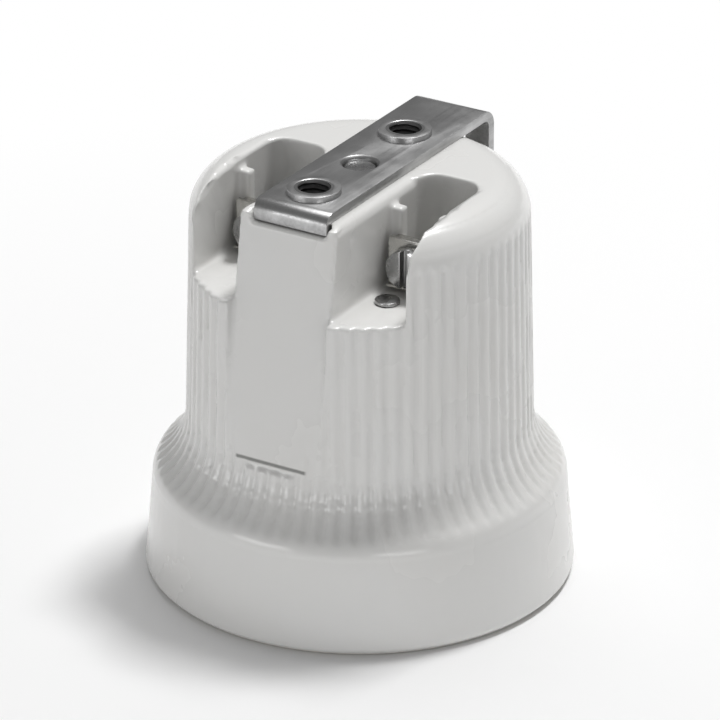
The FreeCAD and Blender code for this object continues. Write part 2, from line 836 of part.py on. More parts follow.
def make_screw_shell():
    """Rolled screw shell: folded lip in the mouth, knuckle thread, in-turned riveted flange."""
    thickness = S["shell_sheet"].value
    inner = sheet_inner_radius.value
    outer = inner + thickness
    bend = S["shell_bend"].value
    bottom = thread_bottom.value
    top = thread_top.value
    lip_face = recess_top.value
    lip = shell_lip_radius.value
    flange_face = cavity_depth.value
    flange = S["shell_flange_radius"].value
    turns = (top - bottom) / S["thread_pitch"].value
    count = round(turns * S["sections_per_turn"].value)
    levels = [bottom + (top - bottom) * step / count for step in range(count + 1)]

    fold = thickness * 2
    lean = thickness / 2
    outside = shell_form(
        [(lip_face - fold, lip - thickness), (lip_face - thickness, lip), (lip_face - lean, lip),
         (lip_face, outer + thickness), (lip_face + bend, outer)]
        + [(level, outer) for level in levels]
        + [(flange_face - bend, outer), (flange_face, outer - bend)])
    inside = shell_form(
        [(lip_face - fold, lip - fold), (lip_face - thickness - lean, lip - fold),
         (lip_face - thickness, inner + thickness), (lip_face + bend - thickness, inner)]
        + [(level, inner) for level in levels]
        + [(flange_face - bend - thickness / 2, inner),
           (flange_face - thickness, inner - bend)])
    mouth = Part.makeCylinder(flange, thickness * 4, Vector(0, 0, flange_face - thickness * 2))

    ahead = S["through_hole_ahead"].value
    beside = channel_middle.value
    half_tongue = S["tongue_width"].value / 2
    tongue_base = Vector(ahead - half_tongue, -flange - thickness, flange_face - thickness)
    tongue = Part.makeBox(2 * half_tongue, flange + thickness - beside, thickness, tongue_base)
    tongue_end = Part.makeCylinder(half_tongue, thickness,
                                   Vector(ahead, -beside, flange_face - thickness))
    shell = outside.cut(inside.fuse(mouth)).multiFuse([tongue, tongue_end])
    gap = S["flange_gap_width"].value
    relief = Part.makeBox(gap, inner - bend * 2, thickness * 2,
                          Vector(ahead - gap / 2, 0, flange_face - thickness * 1.5))
    rivet = S["rivet_radius"].value
    under = flange_face - thickness * 2
    holes = [Part.makeCylinder(rivet, thickness * 3, Vector(x.value, y.value, under))
             for _, x, y, _ in rivet_places()]
    shape = shell.cut(Part.makeCompound([relief] + holes))
    item = doc.addObject("Part::Feature", "screw_shell")
    item.Label = "screw_shell"
    item.Shape = shape.Solids[0] if len(shape.Solids) == 1 else shape
    item.Placement = Placement()
    return item


def rivet_places():
    """Name, place and upper seat of each rivet that holds the shell."""
    front = front_rivet_place
    return [
        ("shell_rivet_terminal", S["through_hole_ahead"], -channel_middle, foot_top),
        ("shell_rivet_right", -front, -front, channel_floor),
        ("shell_rivet_left", -front, front, channel_floor),
    ]


def make_shell_rivets():
    """Rivets that hold the shell's flange to the web, one of them through the terminal plate."""
    flange_face = cavity_depth - S["shell_sheet"]
    radius = S["rivet_radius"]
    head_radius = S["rivet_head_radius"]
    head = S["rivet_head_height"]
    made = []
    for label, x, y, seat in rivet_places():
        body = new_body(label)
        profile = new_sketch(body, "Profile", "XZ_Plane")
        length = seat - flange_face
        outline(
            profile,
            (0, -head),
            (head_radius, -head),
            (head_radius, 0),
            (radius, 0),
            (radius, length),
            (head_radius, length),
            (head_radius, length + head),
            (0, length + head),
        )
        turn(body, "Rivet", profile)
        place(body, x, y, flange_face)
        made.append(body)
    return made


def make_centre_contact():
    """Spring-backed contact bridge: foot on its shoulder screw, arched crown, turned-up tab."""
    body = new_body("centre_contact")
    side = new_sketch(body, "BridgeProfile", "YZ_Plane")
    foot_end = channel_middle + S["contact_foot_width"] / 2
    crown_near = S["contact_crown_near"]
    crown_far = -S["contact_crown_far"]
    half_span = (crown_near - crown_far) / 2
    rise = S["contact_crown_rise"]
    arch_radius = (half_span * half_span + rise * rise) / (rise * 2)
    inner_rise = arch_radius - S["contact_sheet"]
    outline(
        side,
        (foot_end, contact_foot_bottom),
        (foot_end, contact_foot_top),
        (S["contact_foot_near"], contact_foot_top),
        (crown_near, crown_inside + rise),
        (crown_far, crown_inside + rise, inner_rise, -1),
        (crown_far, tab_top),
        (crown_far - S["contact_sheet"], tab_top),
        (crown_far - S["contact_sheet"], crown_outside + rise),
        (crown_near, crown_outside + rise, arch_radius, 1),
        (S["contact_foot_near"], contact_foot_bottom),
    )
    pad(body, "Bridge", side, S["contact_width"], symmetric=True)
    sides = new_sketch(body, "FootSides", "XY_Plane", contact_foot_bottom - S["contact_sheet"])
    half_foot = S["contact_foot_width"] / 2
    half_width = S["contact_width"] / 2 + S["contact_sheet"]
    ahead = S["through_hole_ahead"]
    outline(
        sides,
        (ahead + half_foot, S["contact_foot_near"]),
        (half_width, S["contact_foot_near"]),
        (half_width, foot_end + S["contact_sheet"]),
        (-half_width, foot_end + S["contact_sheet"]),
        (-half_width, S["contact_foot_near"]),
        (ahead - half_foot, S["contact_foot_near"]),
        (ahead - half_foot, channel_middle),
        (ahead, foot_end, half_foot, -1),
        (ahead + half_foot, channel_middle, half_foot, -1),
    )
    pocket(body, "FootSidesCut", sides, S["contact_sheet"] * 3, up=True)
    hole = new_sketch(body, "FootHole", "XY_Plane", contact_foot_bottom - S["contact_sheet"])
    circle(hole, ahead, channel_middle,
           shoulder_radius + S["running_clearance"])
    pocket(body, "FootHoleCut", hole, S["contact_sheet"] * 3, up=True)
    return body


def make_contact_spring():
    """Bowed leaf spring between the web and the inside of the contact's crown."""
    body = new_body("contact_spring")
    bow = new_sketch(body, "Bow", "XZ_Plane")
    half = S["leaf_half_span"]
    seat = cavity_depth
    crown = crown_inside + S["leaf_gap"]
    depth = seat - crown
    radius = (half * half + depth * depth) / (depth * 2)
    inner_radius = radius - S["leaf_sheet"]
    below = radius - depth
    inner_half = root(inner_radius * inner_radius - below * below)
    outline(
        bow,
        (-half, seat),
        (0, crown, radius, 1),
        (half, seat, radius, 1),
        (inner_half, seat),
        (0, crown + S["leaf_sheet"], inner_radius, -1),
        (-inner_half, seat, inner_radius, -1),
    )
    pad(body, "Leaf", bow, S["leaf_width"], symmetric=True)
    place(body, 0, (S["contact_crown_near"] - S["contact_crown_far"]) / 2, 0)
    return body


def make_contact_screw():
    """Shoulder screw that guides the contact's foot, with its nut and lock washer."""
    body = new_body("contact_screw")
    profile = new_sketch(body, "Profile", "XZ_Plane")
    head_radius = S["contact_screw_head_radius"]
    head_height = S["contact_screw_head_height"]
    tip = S["screw_tip"]
    shoulder_height = cavity_depth - shoulder_bottom
    nut_seat = foot_top + S["lock_washer_thickness"]
    length = nut_seat + S["nut_height"] + tip - shoulder_bottom
    radius = S["contact_screw_radius"]
    shoulder = shoulder_radius
    outline(
        profile,
        (0, -head_height),
        (head_radius, -head_height),
        (head_radius, 0),
        (shoulder, 0),
        (shoulder, shoulder_height),
        (radius, shoulder_height),
        (radius, length - tip),
        (radius - tip, length),
        (0, length),
    )
    turn(body, "Screw", profile)
    slot = new_sketch(body, "Slot", "XY_Plane", -head_height)
    half_slot = S["screw_slot_width"] / 2
    rectangle(slot, -head_radius - tip, -half_slot, head_radius + tip, half_slot)
    pocket(body, "SlotCut", slot, S["screw_slot_depth"], up=True)
    place(body, S["through_hole_ahead"], channel_middle, shoulder_bottom)

    nut = new_body("contact_screw_nut")
    shape = new_sketch(nut, "Hexagon", "XY_Plane")
    flat = S["nut_across_flats"] / 2
    half_side = flat / math.sqrt(3)
    corner = half_side * 2
    outline(shape, (flat, -half_side), (flat, half_side), (0, corner), (-flat, half_side),
            (-flat, -half_side), (0, -corner))
    circle(shape, 0, 0, S["contact_screw_radius"])
    pad(nut, "NutPad", shape, S["nut_height"])
    place(nut, S["through_hole_ahead"], channel_middle, nut_seat)

    washer = ring("contact_lock_washer", S["contact_screw_radius"] + S["running_clearance"],
                  S["lock_washer_radius"], S["lock_washer_thickness"])
    slit = new_sketch(washer, "Slit", "XY_Plane")
    half_slit = S["lock_washer_slit"] / 2
    rectangle(slit, 0, -half_slit, S["lock_washer_radius"] + half_slit, half_slit)
    pocket(washer, "SlitCut", slit, S["lock_washer_thickness"], up=True)
    place(washer, S["through_hole_ahead"], channel_middle, foot_top)
    return [body, nut, washer]


def make_terminal_plate(label, side):
    """Angle plate: foot through the throat to its fastener, upright leg tapped for the screw."""
    body = new_body(label)
    upright_front = rib_front - S["plate_thickness"]
    middle = channel_middle if side > 0 else -channel_middle
    foot = new_sketch(body, "Foot", "XY_Plane", channel_floor)
    half_foot = S["plate_foot_width"] / 2
    rectangle(foot, upright_front, middle - half_foot, S["through_hole_ahead"],
              middle + half_foot)
    pad(body, "FootPad", foot, S["plate_thickness"])
    round_end = new_sketch(body, "FootEnd", "XY_Plane", channel_floor)
    circle(round_end, S["through_hole_ahead"], middle, S["plate_foot_pad_radius"])
    pad(body, "FootEndPad", round_end, S["plate_thickness"])
    upright = new_sketch(body, "Upright", "YZ_Plane", upright_front)
    half_width = S["plate_width"] / 2
    top = channel_floor + S["plate_height"]
    corner = S["plate_thickness"]
    outline(
        upright,
        (middle - half_width, channel_floor),
        (middle + half_width, channel_floor),
        (middle + half_width, top - corner),
        (middle + half_width - corner, top, corner, 1),
        (middle - half_width + corner, top),
        (middle - half_width, top - corner, corner, 1),
    )
    pad(body, "UprightPad", upright, S["plate_thickness"])
    collar = new_sketch(body, "Collar", "YZ_Plane", rib_front)
    circle(collar, middle, terminal_axis, collar_radius)
    pad(body, "CollarPad", collar, S["terminal_collar_length"])
    tapped = new_sketch(body, "TappedHole", "YZ_Plane", upright_front)
    circle(tapped, middle, terminal_axis,
           S["terminal_screw_radius"] + S["running_clearance"])
    pocket(body, "TappedHoleCut", tapped,
           S["plate_thickness"] + S["terminal_collar_length"] * 2, up=True)
    fastener = S["contact_screw_radius"] if side > 0 else S["rivet_radius"]
    hole = new_sketch(body, "FootHole", "XY_Plane", channel_floor)
    circle(hole, S["through_hole_ahead"], middle, fastener)
    pocket(body, "FootHoleCut", hole, S["plate_thickness"], up=True)
    return body


def make_terminal_screw(label, side):
    """Slotted terminal screw, its head towards the channel's open end."""
    screw = headed_screw(label, S["terminal_screw_radius"], S["terminal_screw_length"],
                         S["terminal_screw_head_radius"], S["terminal_screw_head_height"],
                         S["screw_slot_width"], S["screw_slot_depth"])
    face = rib_front - S["plate_thickness"] - S["clamp_thickness"]
    middle = channel_middle if side > 0 else -channel_middle
    place(screw, face, middle, terminal_axis, Rotation(Vector(0, 1, 0), 90))
    return screw


def make_wire_clamp(label, side):
    """Square clamp washer with a turned lip that keeps the wire under it."""
    body = new_body(label)
    middle = channel_middle if side > 0 else -channel_middle
    face = rib_front - S["plate_thickness"] - S["clamp_thickness"]
    half = S["clamp_width"] / 2
    square = new_sketch(body, "Square", "YZ_Plane", face)
    rectangle(square, middle - half, terminal_axis - half, middle + half, terminal_axis + half)
    pad(body, "SquarePad", square, S["clamp_thickness"])
    lips = new_sketch(body, "Lips", "YZ_Plane", face)
    rectangle(lips, middle - half, terminal_axis - half,
              middle + half, terminal_axis - half + S["clamp_lip_thickness"])
    pad(body, "LipPad", lips, S["clamp_lip"], down=True)
    hole = new_sketch(body, "Hole", "YZ_Plane", face)
    circle(hole, middle, terminal_axis, S["terminal_screw_radius"] + S["running_clearance"])
    pocket(body, "HoleCut", hole, S["clamp_thickness"], up=True)
    return body


pieces = [make_porcelain_body(), make_fixing_bracket()]
pieces += make_bracket_screw()
pieces += [make_screw_shell(), make_centre_contact(), make_contact_spring()]
pieces += make_shell_rivets()
pieces += make_contact_screw()
for owner, side in (("shell", -1), ("contact", 1)):
    pieces.append(make_terminal_plate(owner + "_terminal_plate", side))
    pieces.append(make_wire_clamp(owner + "_wire_clamp", side))
    pieces.append(make_terminal_screw(owner + "_terminal_screw", side))

doc.recompute()


def check_document():
    """Stop if any object failed, any cut removed nothing or any piece is not a sound solid."""
    for item in doc.Objects:
        if "Invalid" in item.State or "Error" in item.State:
            raise RuntimeError(item.Name + " did not build: " + str(item.State))
    for item in doc.Objects:
        base = getattr(item, "BaseFeature", None)
        if base is not None and hasattr(item, "Shape"):
            if abs(item.Shape.Volume - base.Shape.Volume) < 1e-6:
                raise RuntimeError(item.Name + " changed nothing")
    for piece in pieces:
        if piece.Shape.isNull() or not piece.Shape.isValid() or not piece.Shape.Solids:
            raise RuntimeError(piece.Label + " is not a valid solid")


check_document()
os.makedirs("parts", exist_ok=True)
for piece in pieces:
    piece.Shape.exportStep(os.path.join("parts", piece.Label + ".step"))
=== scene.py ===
"""Looks of a glazed porcelain lamp holder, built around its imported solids."""

import json
import math

import bmesh
import bpy
from mathutils import Matrix, Vector

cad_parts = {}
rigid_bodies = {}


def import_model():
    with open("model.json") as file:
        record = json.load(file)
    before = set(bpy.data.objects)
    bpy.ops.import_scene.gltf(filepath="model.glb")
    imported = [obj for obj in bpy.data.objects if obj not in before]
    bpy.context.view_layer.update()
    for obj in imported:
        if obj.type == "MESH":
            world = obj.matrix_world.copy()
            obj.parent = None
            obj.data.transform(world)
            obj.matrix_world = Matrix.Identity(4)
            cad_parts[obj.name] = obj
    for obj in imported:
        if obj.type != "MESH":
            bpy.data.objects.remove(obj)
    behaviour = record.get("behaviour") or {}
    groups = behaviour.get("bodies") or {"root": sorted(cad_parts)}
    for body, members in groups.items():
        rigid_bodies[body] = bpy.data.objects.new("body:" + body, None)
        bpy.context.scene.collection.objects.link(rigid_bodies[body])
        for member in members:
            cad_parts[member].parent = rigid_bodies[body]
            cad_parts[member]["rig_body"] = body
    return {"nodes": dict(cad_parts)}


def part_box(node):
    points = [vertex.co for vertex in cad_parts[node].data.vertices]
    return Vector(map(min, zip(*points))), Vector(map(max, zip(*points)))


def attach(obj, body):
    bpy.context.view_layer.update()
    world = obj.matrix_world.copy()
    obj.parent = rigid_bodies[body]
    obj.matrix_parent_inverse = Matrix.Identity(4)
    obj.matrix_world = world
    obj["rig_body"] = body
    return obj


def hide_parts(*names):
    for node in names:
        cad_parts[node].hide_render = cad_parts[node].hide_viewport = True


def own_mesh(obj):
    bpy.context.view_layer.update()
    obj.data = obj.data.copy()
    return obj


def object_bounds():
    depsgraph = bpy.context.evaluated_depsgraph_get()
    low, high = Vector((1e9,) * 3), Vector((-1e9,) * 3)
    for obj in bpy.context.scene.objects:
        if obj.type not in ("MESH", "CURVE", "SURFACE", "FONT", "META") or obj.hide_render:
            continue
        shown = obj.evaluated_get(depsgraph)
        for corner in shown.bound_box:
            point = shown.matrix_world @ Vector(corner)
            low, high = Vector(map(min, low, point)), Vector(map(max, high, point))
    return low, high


bl_info = {
    "name": "Porcelain Lamp Holder",
    "version": (1, 0, 0),
    "blender": (4, 5, 0),
    "location": "3D View > Sidebar > Lamp Holder",
    "description": "Dresses a porcelain lamp holder with glaze, plated metal and a studio",
    "category": "Object",
}

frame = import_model()
cad_low, cad_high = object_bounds()
body_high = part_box("porcelain_body")[1]
bracket_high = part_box("fixing_bracket")[1]
shell_low, shell_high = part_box("screw_shell")

MM = 0.001
HOLDER = "holder"

# Steps of the flare's lower arc, its upper arc and the shoulder, in the solid and in the curve
SOLID_STEPS = (1, 2, 3)
CURVE_STEPS = (12, 24, 24)
OUTER_SKIN = 1.5 * MM        # depth below the outline that moves with it
FLANGE_CUT = 0.9 * MM        # height below the shell's top where its flange is cut free
BUSH_SET_DOWN = 0.05 * MM    # how far the bush thread starts below the bush's top
BUSH_SIDES = 48
BUSH_STEPS = 8               # steps to a pitch of the bush thread
FLOOR_SIDES = 96
FADE_START = 0.042           # the floor runs out to white between these two radii
FADE_END = 0.17
WELL_RADIUS = 3.3 * MM
WELL_BOTTOM = 0.045
SHADOW_LINE_WIDTH = 0.36 * MM
BARE_RIM = 0.8 * MM          # height to which the rim is unglazed
BARE_BLEND = 0.15 * MM
BARE_WANDER = 0.9 * MM
RIPPLE_DEPTH = 0.015 * MM
GRAIN_DEPTH = 0.006 * MM
FLAT_ANGLE = math.radians(0.6)    # faces of a solid that meet at less are joined up
SHARP_ANGLE = math.radians(30.0)  # edges that are sharper are broken and shaded sharp
EDGE_SEGMENTS = 2

# Name, place, width, height and power of each soft lamp
SOFTBOXES = (
    ("Key softbox", (0.24, -0.07, 0.73), 0.14, 0.14, 3.5),
    ("Overhead softbox", (0.18, 0.12, 0.72), 0.45, 0.45, 1.4),
    ("Left softbox", (-0.85, 0.34, 0.12), 0.5, 0.2, 1.1),
    ("Near softbox", (-0.55, -0.70, 0.10), 0.4, 0.16, 0.7),
)


# Settings that a user would change

class PorcelainSettings(bpy.types.PropertyGroup):
    """Shape and colour of the glazed porcelain."""

    voxel: bpy.props.FloatProperty(
        name="Surface step", description="Grid step of the porcelain's surface",
        default=0.36 * MM, min=0.2 * MM, max=1.5 * MM, precision=5, unit="LENGTH")
    softening: bpy.props.IntProperty(
        name="Softening", description="How many times the glaze rounds the edges over",
        default=4, min=0, max=30)
    triangles: bpy.props.IntProperty(
        name="Triangles", description="Most triangles that the porcelain may have",
        default=185000, min=20000, max=195000)
    glaze_colour: bpy.props.FloatVectorProperty(
        name="Glaze", description="Colour of the glazed surface",
        default=(0.80, 0.80, 0.79), size=3, min=0, max=1, subtype="COLOR")
    bisque_colour: bpy.props.FloatVectorProperty(
        name="Bare rim", description="Colour of the unglazed rim that it was fired on",
        default=(0.74, 0.72, 0.68), size=3, min=0, max=1, subtype="COLOR")
    glaze_roughness: bpy.props.FloatProperty(
        name="Roughness", description="Roughness of the glaze",
        default=0.26, min=0.02, max=1, subtype="FACTOR")
    rim_top_radius: bpy.props.FloatProperty(
        name="Rim top radius", description="Radius of the rim where the flare begins",
        default=30.3 * MM, precision=5, unit="LENGTH")
    rim_height: bpy.props.FloatProperty(
        name="Rim height", description="Height of the rim where the flare begins",
        default=14.5 * MM, precision=5, unit="LENGTH")
    flare_low_radius: bpy.props.FloatProperty(
        name="Flare, lower radius", description="Radius of the flare where it leaves the rim",
        default=4.0 * MM, precision=5, unit="LENGTH")
    flare_high_radius: bpy.props.FloatProperty(
        name="Flare, upper radius", description="Radius of the flare where it meets the neck",
        default=10.0 * MM, precision=5, unit="LENGTH")
    neck_radius: bpy.props.FloatProperty(
        name="Neck radius", description="Radius of the neck above the flare",
        default=25.3 * MM, precision=5, unit="LENGTH")
    neck_top_radius: bpy.props.FloatProperty(
        name="Neck top radius", description="Radius of the neck below the shoulder",
        default=24.5 * MM, precision=5, unit="LENGTH")
    shoulder_radius: bpy.props.FloatProperty(
        name="Shoulder radius", description="Radius that rounds the shoulder over",
        default=6.0 * MM, precision=5, unit="LENGTH")
    panel_foot: bpy.props.FloatProperty(
        name="Panel foot", description="Height of the line at the foot of each flat panel",
        default=25.5 * MM, precision=5, unit="LENGTH")
    panel_half_width: bpy.props.FloatProperty(
        name="Panel half width", description="Half the width of each flat panel at its foot",
        default=6.0 * MM, precision=5, unit="LENGTH")


class ThreadSettings(bpy.types.PropertyGroup):
    """The lamp thread of the shell and the fine thread of the bushes."""

    sides: bpy.props.IntProperty(
        name="Sides", description="Steps round the lamp thread", default=144, min=24, max=360)
    level: bpy.props.FloatProperty(
        name="Level step", description="Height between two rings of the lamp thread",
        default=0.35 * MM, min=0.1 * MM, max=2 * MM, precision=5, unit="LENGTH")
    pitch: bpy.props.FloatProperty(
        name="Lamp thread pitch", description="Pitch of the lamp thread",
        default=6.35 * MM, precision=5, unit="LENGTH")
    swing: bpy.props.FloatProperty(
        name="Lamp thread swing", description="Half the depth of the lamp thread",
        default=0.825 * MM, precision=5, unit="LENGTH")
    inner_radius: bpy.props.FloatProperty(
        name="Shell inner radius", description="Mean radius of the inside of the shell",
        default=18.975 * MM, precision=5, unit="LENGTH")
    sheet: bpy.props.FloatProperty(
        name="Shell sheet", description="Thickness of the shell's sheet",
        default=0.5 * MM, precision=5, unit="LENGTH")
    lead_in: bpy.props.FloatProperty(
        name="Lead in", description="Plain height between the lip's underside and the thread",
        default=2.8 * MM, precision=5, unit="LENGTH")
    lead_out: bpy.props.FloatProperty(
        name="Lead out", description="Plain height between the thread and the flange's top",
        default=2.1 * MM, precision=5, unit="LENGTH")
    bush_radius: bpy.props.FloatProperty(
        name="Bush thread radius", description="Radius of the roots of the bush thread",
        default=2.55 * MM, precision=5, unit="LENGTH")
    bush_depth: bpy.props.FloatProperty(
        name="Bush thread depth", description="Depth of the bush thread",
        default=0.32 * MM, precision=5, unit="LENGTH")
    bush_pitch: bpy.props.FloatProperty(
        name="Bush thread pitch", description="Pitch of the bush thread",
        default=0.8 * MM, precision=5, unit="LENGTH")
    bush_place: bpy.props.FloatProperty(
        name="Bush place", description="Distance of each bush from the middle of the bracket",
        default=12.5 * MM, precision=5, unit="LENGTH")
    bush_height: bpy.props.FloatProperty(
        name="Bush height", description="Height of each bush through the strip",
        default=2.4 * MM, precision=5, unit="LENGTH")


class MetalSettings(bpy.types.PropertyGroup):
    """Colours and edges of the metal pieces."""

    edge: bpy.props.FloatProperty(
        name="Edge radius", description="Radius of the broken edges",
        default=0.14 * MM, min=0, max=0.5 * MM, precision=5, unit="LENGTH")
    head_room: bpy.props.FloatProperty(
        name="Head room", description="Room between the front rivets' heads and the clamps",
        default=0.05 * MM, min=0, max=0.5 * MM, precision=5, unit="LENGTH")
    zinc_colour: bpy.props.FloatVectorProperty(
        name="Zinc plate", description="Colour of the bracket",
        default=(0.52, 0.52, 0.52), size=3, min=0, max=1, subtype="COLOR")
    screw_colour: bpy.props.FloatVectorProperty(
        name="Screw steel", description="Colour of the screws",
        default=(0.42, 0.42, 0.42), size=3, min=0, max=1, subtype="COLOR")
    nickel_colour: bpy.props.FloatVectorProperty(
        name="Nickel plate", description="Colour of the shell, contact and terminals",
        default=(0.66, 0.65, 0.62), size=3, min=0, max=1, subtype="COLOR")
    spring_colour: bpy.props.FloatVectorProperty(
        name="Spring steel", description="Colour of the contact spring",
        default=(0.42, 0.42, 0.43), size=3, min=0, max=1, subtype="COLOR")


class StageSettings(bpy.types.PropertyGroup):
    """Floor, lamps and camera."""

    camera_place: bpy.props.FloatVectorProperty(
        name="Camera", description="Where the camera stands",
        default=(-0.600, -0.364, 0.363), size=3, subtype="TRANSLATION", unit="LENGTH")
    lens: bpy.props.FloatProperty(
        name="Lens", description="Focal length in millimetres",
        default=268.0, min=50, max=600)
    floor_colour: bpy.props.FloatVectorProperty(
        name="Floor", description="Colour of the floor",
        default=(0.94, 0.94, 0.94), size=3, min=0, max=1, subtype="COLOR")
    floor_radius: bpy.props.FloatProperty(
        name="Floor radius", description="Outer radius of the floor",
        default=3.0, precision=3, unit="LENGTH")
    floor_opening: bpy.props.FloatProperty(
        name="Floor opening", description="Opening under the mouth, which lets light into it",
        default=30.1 * MM, precision=5, unit="LENGTH")
    floor_gap: bpy.props.FloatProperty(
        name="Floor gap", description="How far the floor lies under the rim",
        default=0.02 * MM, precision=6, unit="LENGTH")
    fill: bpy.props.FloatProperty(
        name="Fill", description="Strength of the even light from all round",
        default=0.19, min=0, max=2)


# Node tools

def add(tree, kind, **values):
    """A node of that kind with the given properties."""
    node = tree.nodes.new(kind)
    for key, value in values.items():
        setattr(node, key, value)
    return node


def give(node, **values):
    """Set input sockets by name, with underscores for spaces."""
    for key, value in values.items():
        node.inputs[key.replace("_", " ")].default_value = value
    return node


def noise(tree, coordinates, scale, detail=3.0, roughness=0.5):
    """A noise texture on the given coordinates."""
    node = give(add(tree, "ShaderNodeTexNoise"), Scale=scale, Detail=detail, Roughness=roughness)
    tree.links.new(coordinates, node.inputs["Vector"])
    return node.outputs["Fac"]


def remap(tree, value, low, high, to_low=0.0, to_high=1.0):
    """A value remapped from one range to another and clamped."""
    node = add(tree, "ShaderNodeMapRange")
    tree.links.new(value, node.inputs["Value"])
    for key, amount in (("From Min", low), ("From Max", high),
                        ("To Min", to_low), ("To Max", to_high)):
        if hasattr(amount, "is_linked"):
            tree.links.new(amount, node.inputs[key])
        else:
            node.inputs[key].default_value = amount
    return node.outputs["Result"]


def arithmetic(tree, operation, first, second=0.0):
    """One operation on one or two values, either of which may be a plain number."""
    node = add(tree, "ShaderNodeMath", operation=operation)
    for index, item in enumerate((first, second)):
        if hasattr(item, "is_linked"):
            tree.links.new(item, node.inputs[index])
        else:
            node.inputs[index].default_value = item
    return node.outputs["Value"]


def blend_colour(tree, factor, first, second, mode="MIX"):
    """Two colours mixed by a factor."""
    node = add(tree, "ShaderNodeMix", data_type="RGBA", blend_type=mode)
    for key, item in (("Factor_Float", factor), ("A_Color", first), ("B_Color", second)):
        socket = [entry for entry in node.inputs if entry.identifier == key][0]
        if hasattr(item, "is_linked"):
            tree.links.new(item, socket)
        elif isinstance(item, (int, float)):
            socket.default_value = item
        else:
            socket.default_value = (*item, 1.0)
    return [entry for entry in node.outputs if entry.type == "RGBA"][0]


def new_group(name, inputs, outputs):
    """An empty shader node group with its inputs and outputs."""
    group = bpy.data.node_groups.new(name, "ShaderNodeTree")
    for label, default in inputs:
        socket = group.interface.new_socket(label, in_out="INPUT", socket_type="NodeSocketFloat")
        socket.default_value = default
    for label in outputs:
        group.interface.new_socket(label, in_out="OUTPUT", socket_type="NodeSocketFloat")
    return group, add(group, "NodeGroupInput").outputs, add(group, "NodeGroupOutput").inputs


def edge_wear_group():
    """Mask that is 1 on the outer edges, broken up by noise."""
    group, ins, outs = new_group(
        "Edge Wear", [("Radius", 0.0003), ("Scale", 900.0), ("Amount", 0.5)], ["Mask"])
    bevel = add(group, "ShaderNodeBevel", samples=4)
    group.links.new(ins["Radius"], bevel.inputs["Radius"])
    surface = add(group, "ShaderNodeNewGeometry")
    dot = add(group, "ShaderNodeVectorMath", operation="DOT_PRODUCT")
    group.links.new(bevel.outputs["Normal"], dot.inputs[0])
    group.links.new(surface.outputs["Normal"], dot.inputs[1])
    edge = remap(group, dot.outputs["Value"], 0.995, 0.86)
    place = add(group, "ShaderNodeTexCoord").outputs["Object"]
    speckle = add(group, "ShaderNodeTexNoise")
    give(speckle, Detail=4.0, Roughness=0.6)
    group.links.new(place, speckle.inputs["Vector"])
    group.links.new(ins["Scale"], speckle.inputs["Scale"])
    broken = remap(group, speckle.outputs["Fac"], 0.35, 0.6)
    mask = arithmetic(group, "MULTIPLY", edge, broken)
    group.links.new(arithmetic(group, "MULTIPLY", mask, ins["Amount"]), outs["Mask"])
    return group


def corner_dust_and_shade_group():
    """Mask of the corners and creases that occlusion finds: dust there, and painted shade where it
    darkens a colour.
    """
    group, ins, outs = new_group(
        "Corner Dust and Shade", [("Reach", 0.004), ("Scale", 350.0), ("Amount", 0.5)], ["Mask"])
    shelter = add(group, "ShaderNodeAmbientOcclusion", samples=8, only_local=True)
    group.links.new(ins["Reach"], shelter.inputs["Distance"])
    corner = remap(group, shelter.outputs["AO"], 0.95, 0.35)
    place = add(group, "ShaderNodeTexCoord").outputs["Object"]
    cloud = add(group, "ShaderNodeTexNoise")
    give(cloud, Detail=5.0, Roughness=0.6)
    group.links.new(place, cloud.inputs["Vector"])
    group.links.new(ins["Scale"], cloud.inputs["Scale"])
    patches = remap(group, cloud.outputs["Fac"], 0.3, 0.7, 0.35, 1.0)
    mask = arithmetic(group, "MULTIPLY", corner, patches)
    group.links.new(arithmetic(group, "MULTIPLY", mask, ins["Amount"]), outs["Mask"])
    return group


def grain_group():
    """Long fine scratches of drawn or rolled metal, along one axis by its stretch inputs."""
    group, ins, outs = new_group(
        "Drawn Grain", [("Along X", 120.0), ("Along Y", 2600.0), ("Along Z", 2600.0)],
        ["Tone", "Height"])
    place = add(group, "ShaderNodeTexCoord").outputs["Object"]
    stretch = add(group, "ShaderNodeCombineXYZ")
    for index, axis in enumerate(("Along X", "Along Y", "Along Z")):
        group.links.new(ins[axis], stretch.inputs[index])
    scaled = add(group, "ShaderNodeVectorMath", operation="MULTIPLY")
    group.links.new(place, scaled.inputs[0])
    group.links.new(stretch.outputs["Vector"], scaled.inputs[1])
    coarse = noise(group, scaled.outputs["Vector"], 1.0, 6.0, 0.65)
    blotch = noise(group, place, 260.0, 3.0, 0.55)
    both = arithmetic(group, "ADD", coarse, blotch)
    group.links.new(remap(group, both, 0.75, 1.25), outs["Tone"])
    group.links.new(coarse, outs["Height"])
    return group


def glaze_group():
    """Slow ripple and faint cloud of a fired glaze."""
    group, ins, outs = new_group("Fired Glaze", [("Ripple Scale", 210.0)], ["Ripple", "Cloud"])
    place = add(group, "ShaderNodeTexCoord").outputs["Object"]
    ripple = add(group, "ShaderNodeTexNoise")
    give(ripple, Detail=2.0, Roughness=0.4)
    group.links.new(place, ripple.inputs["Vector"])
    group.links.new(ins["Ripple Scale"], ripple.inputs["Scale"])
    group.links.new(ripple.outputs["Fac"], outs["Ripple"])
    group.links.new(noise(group, place, 48.0, 4.0, 0.5), outs["Cloud"])
    return group


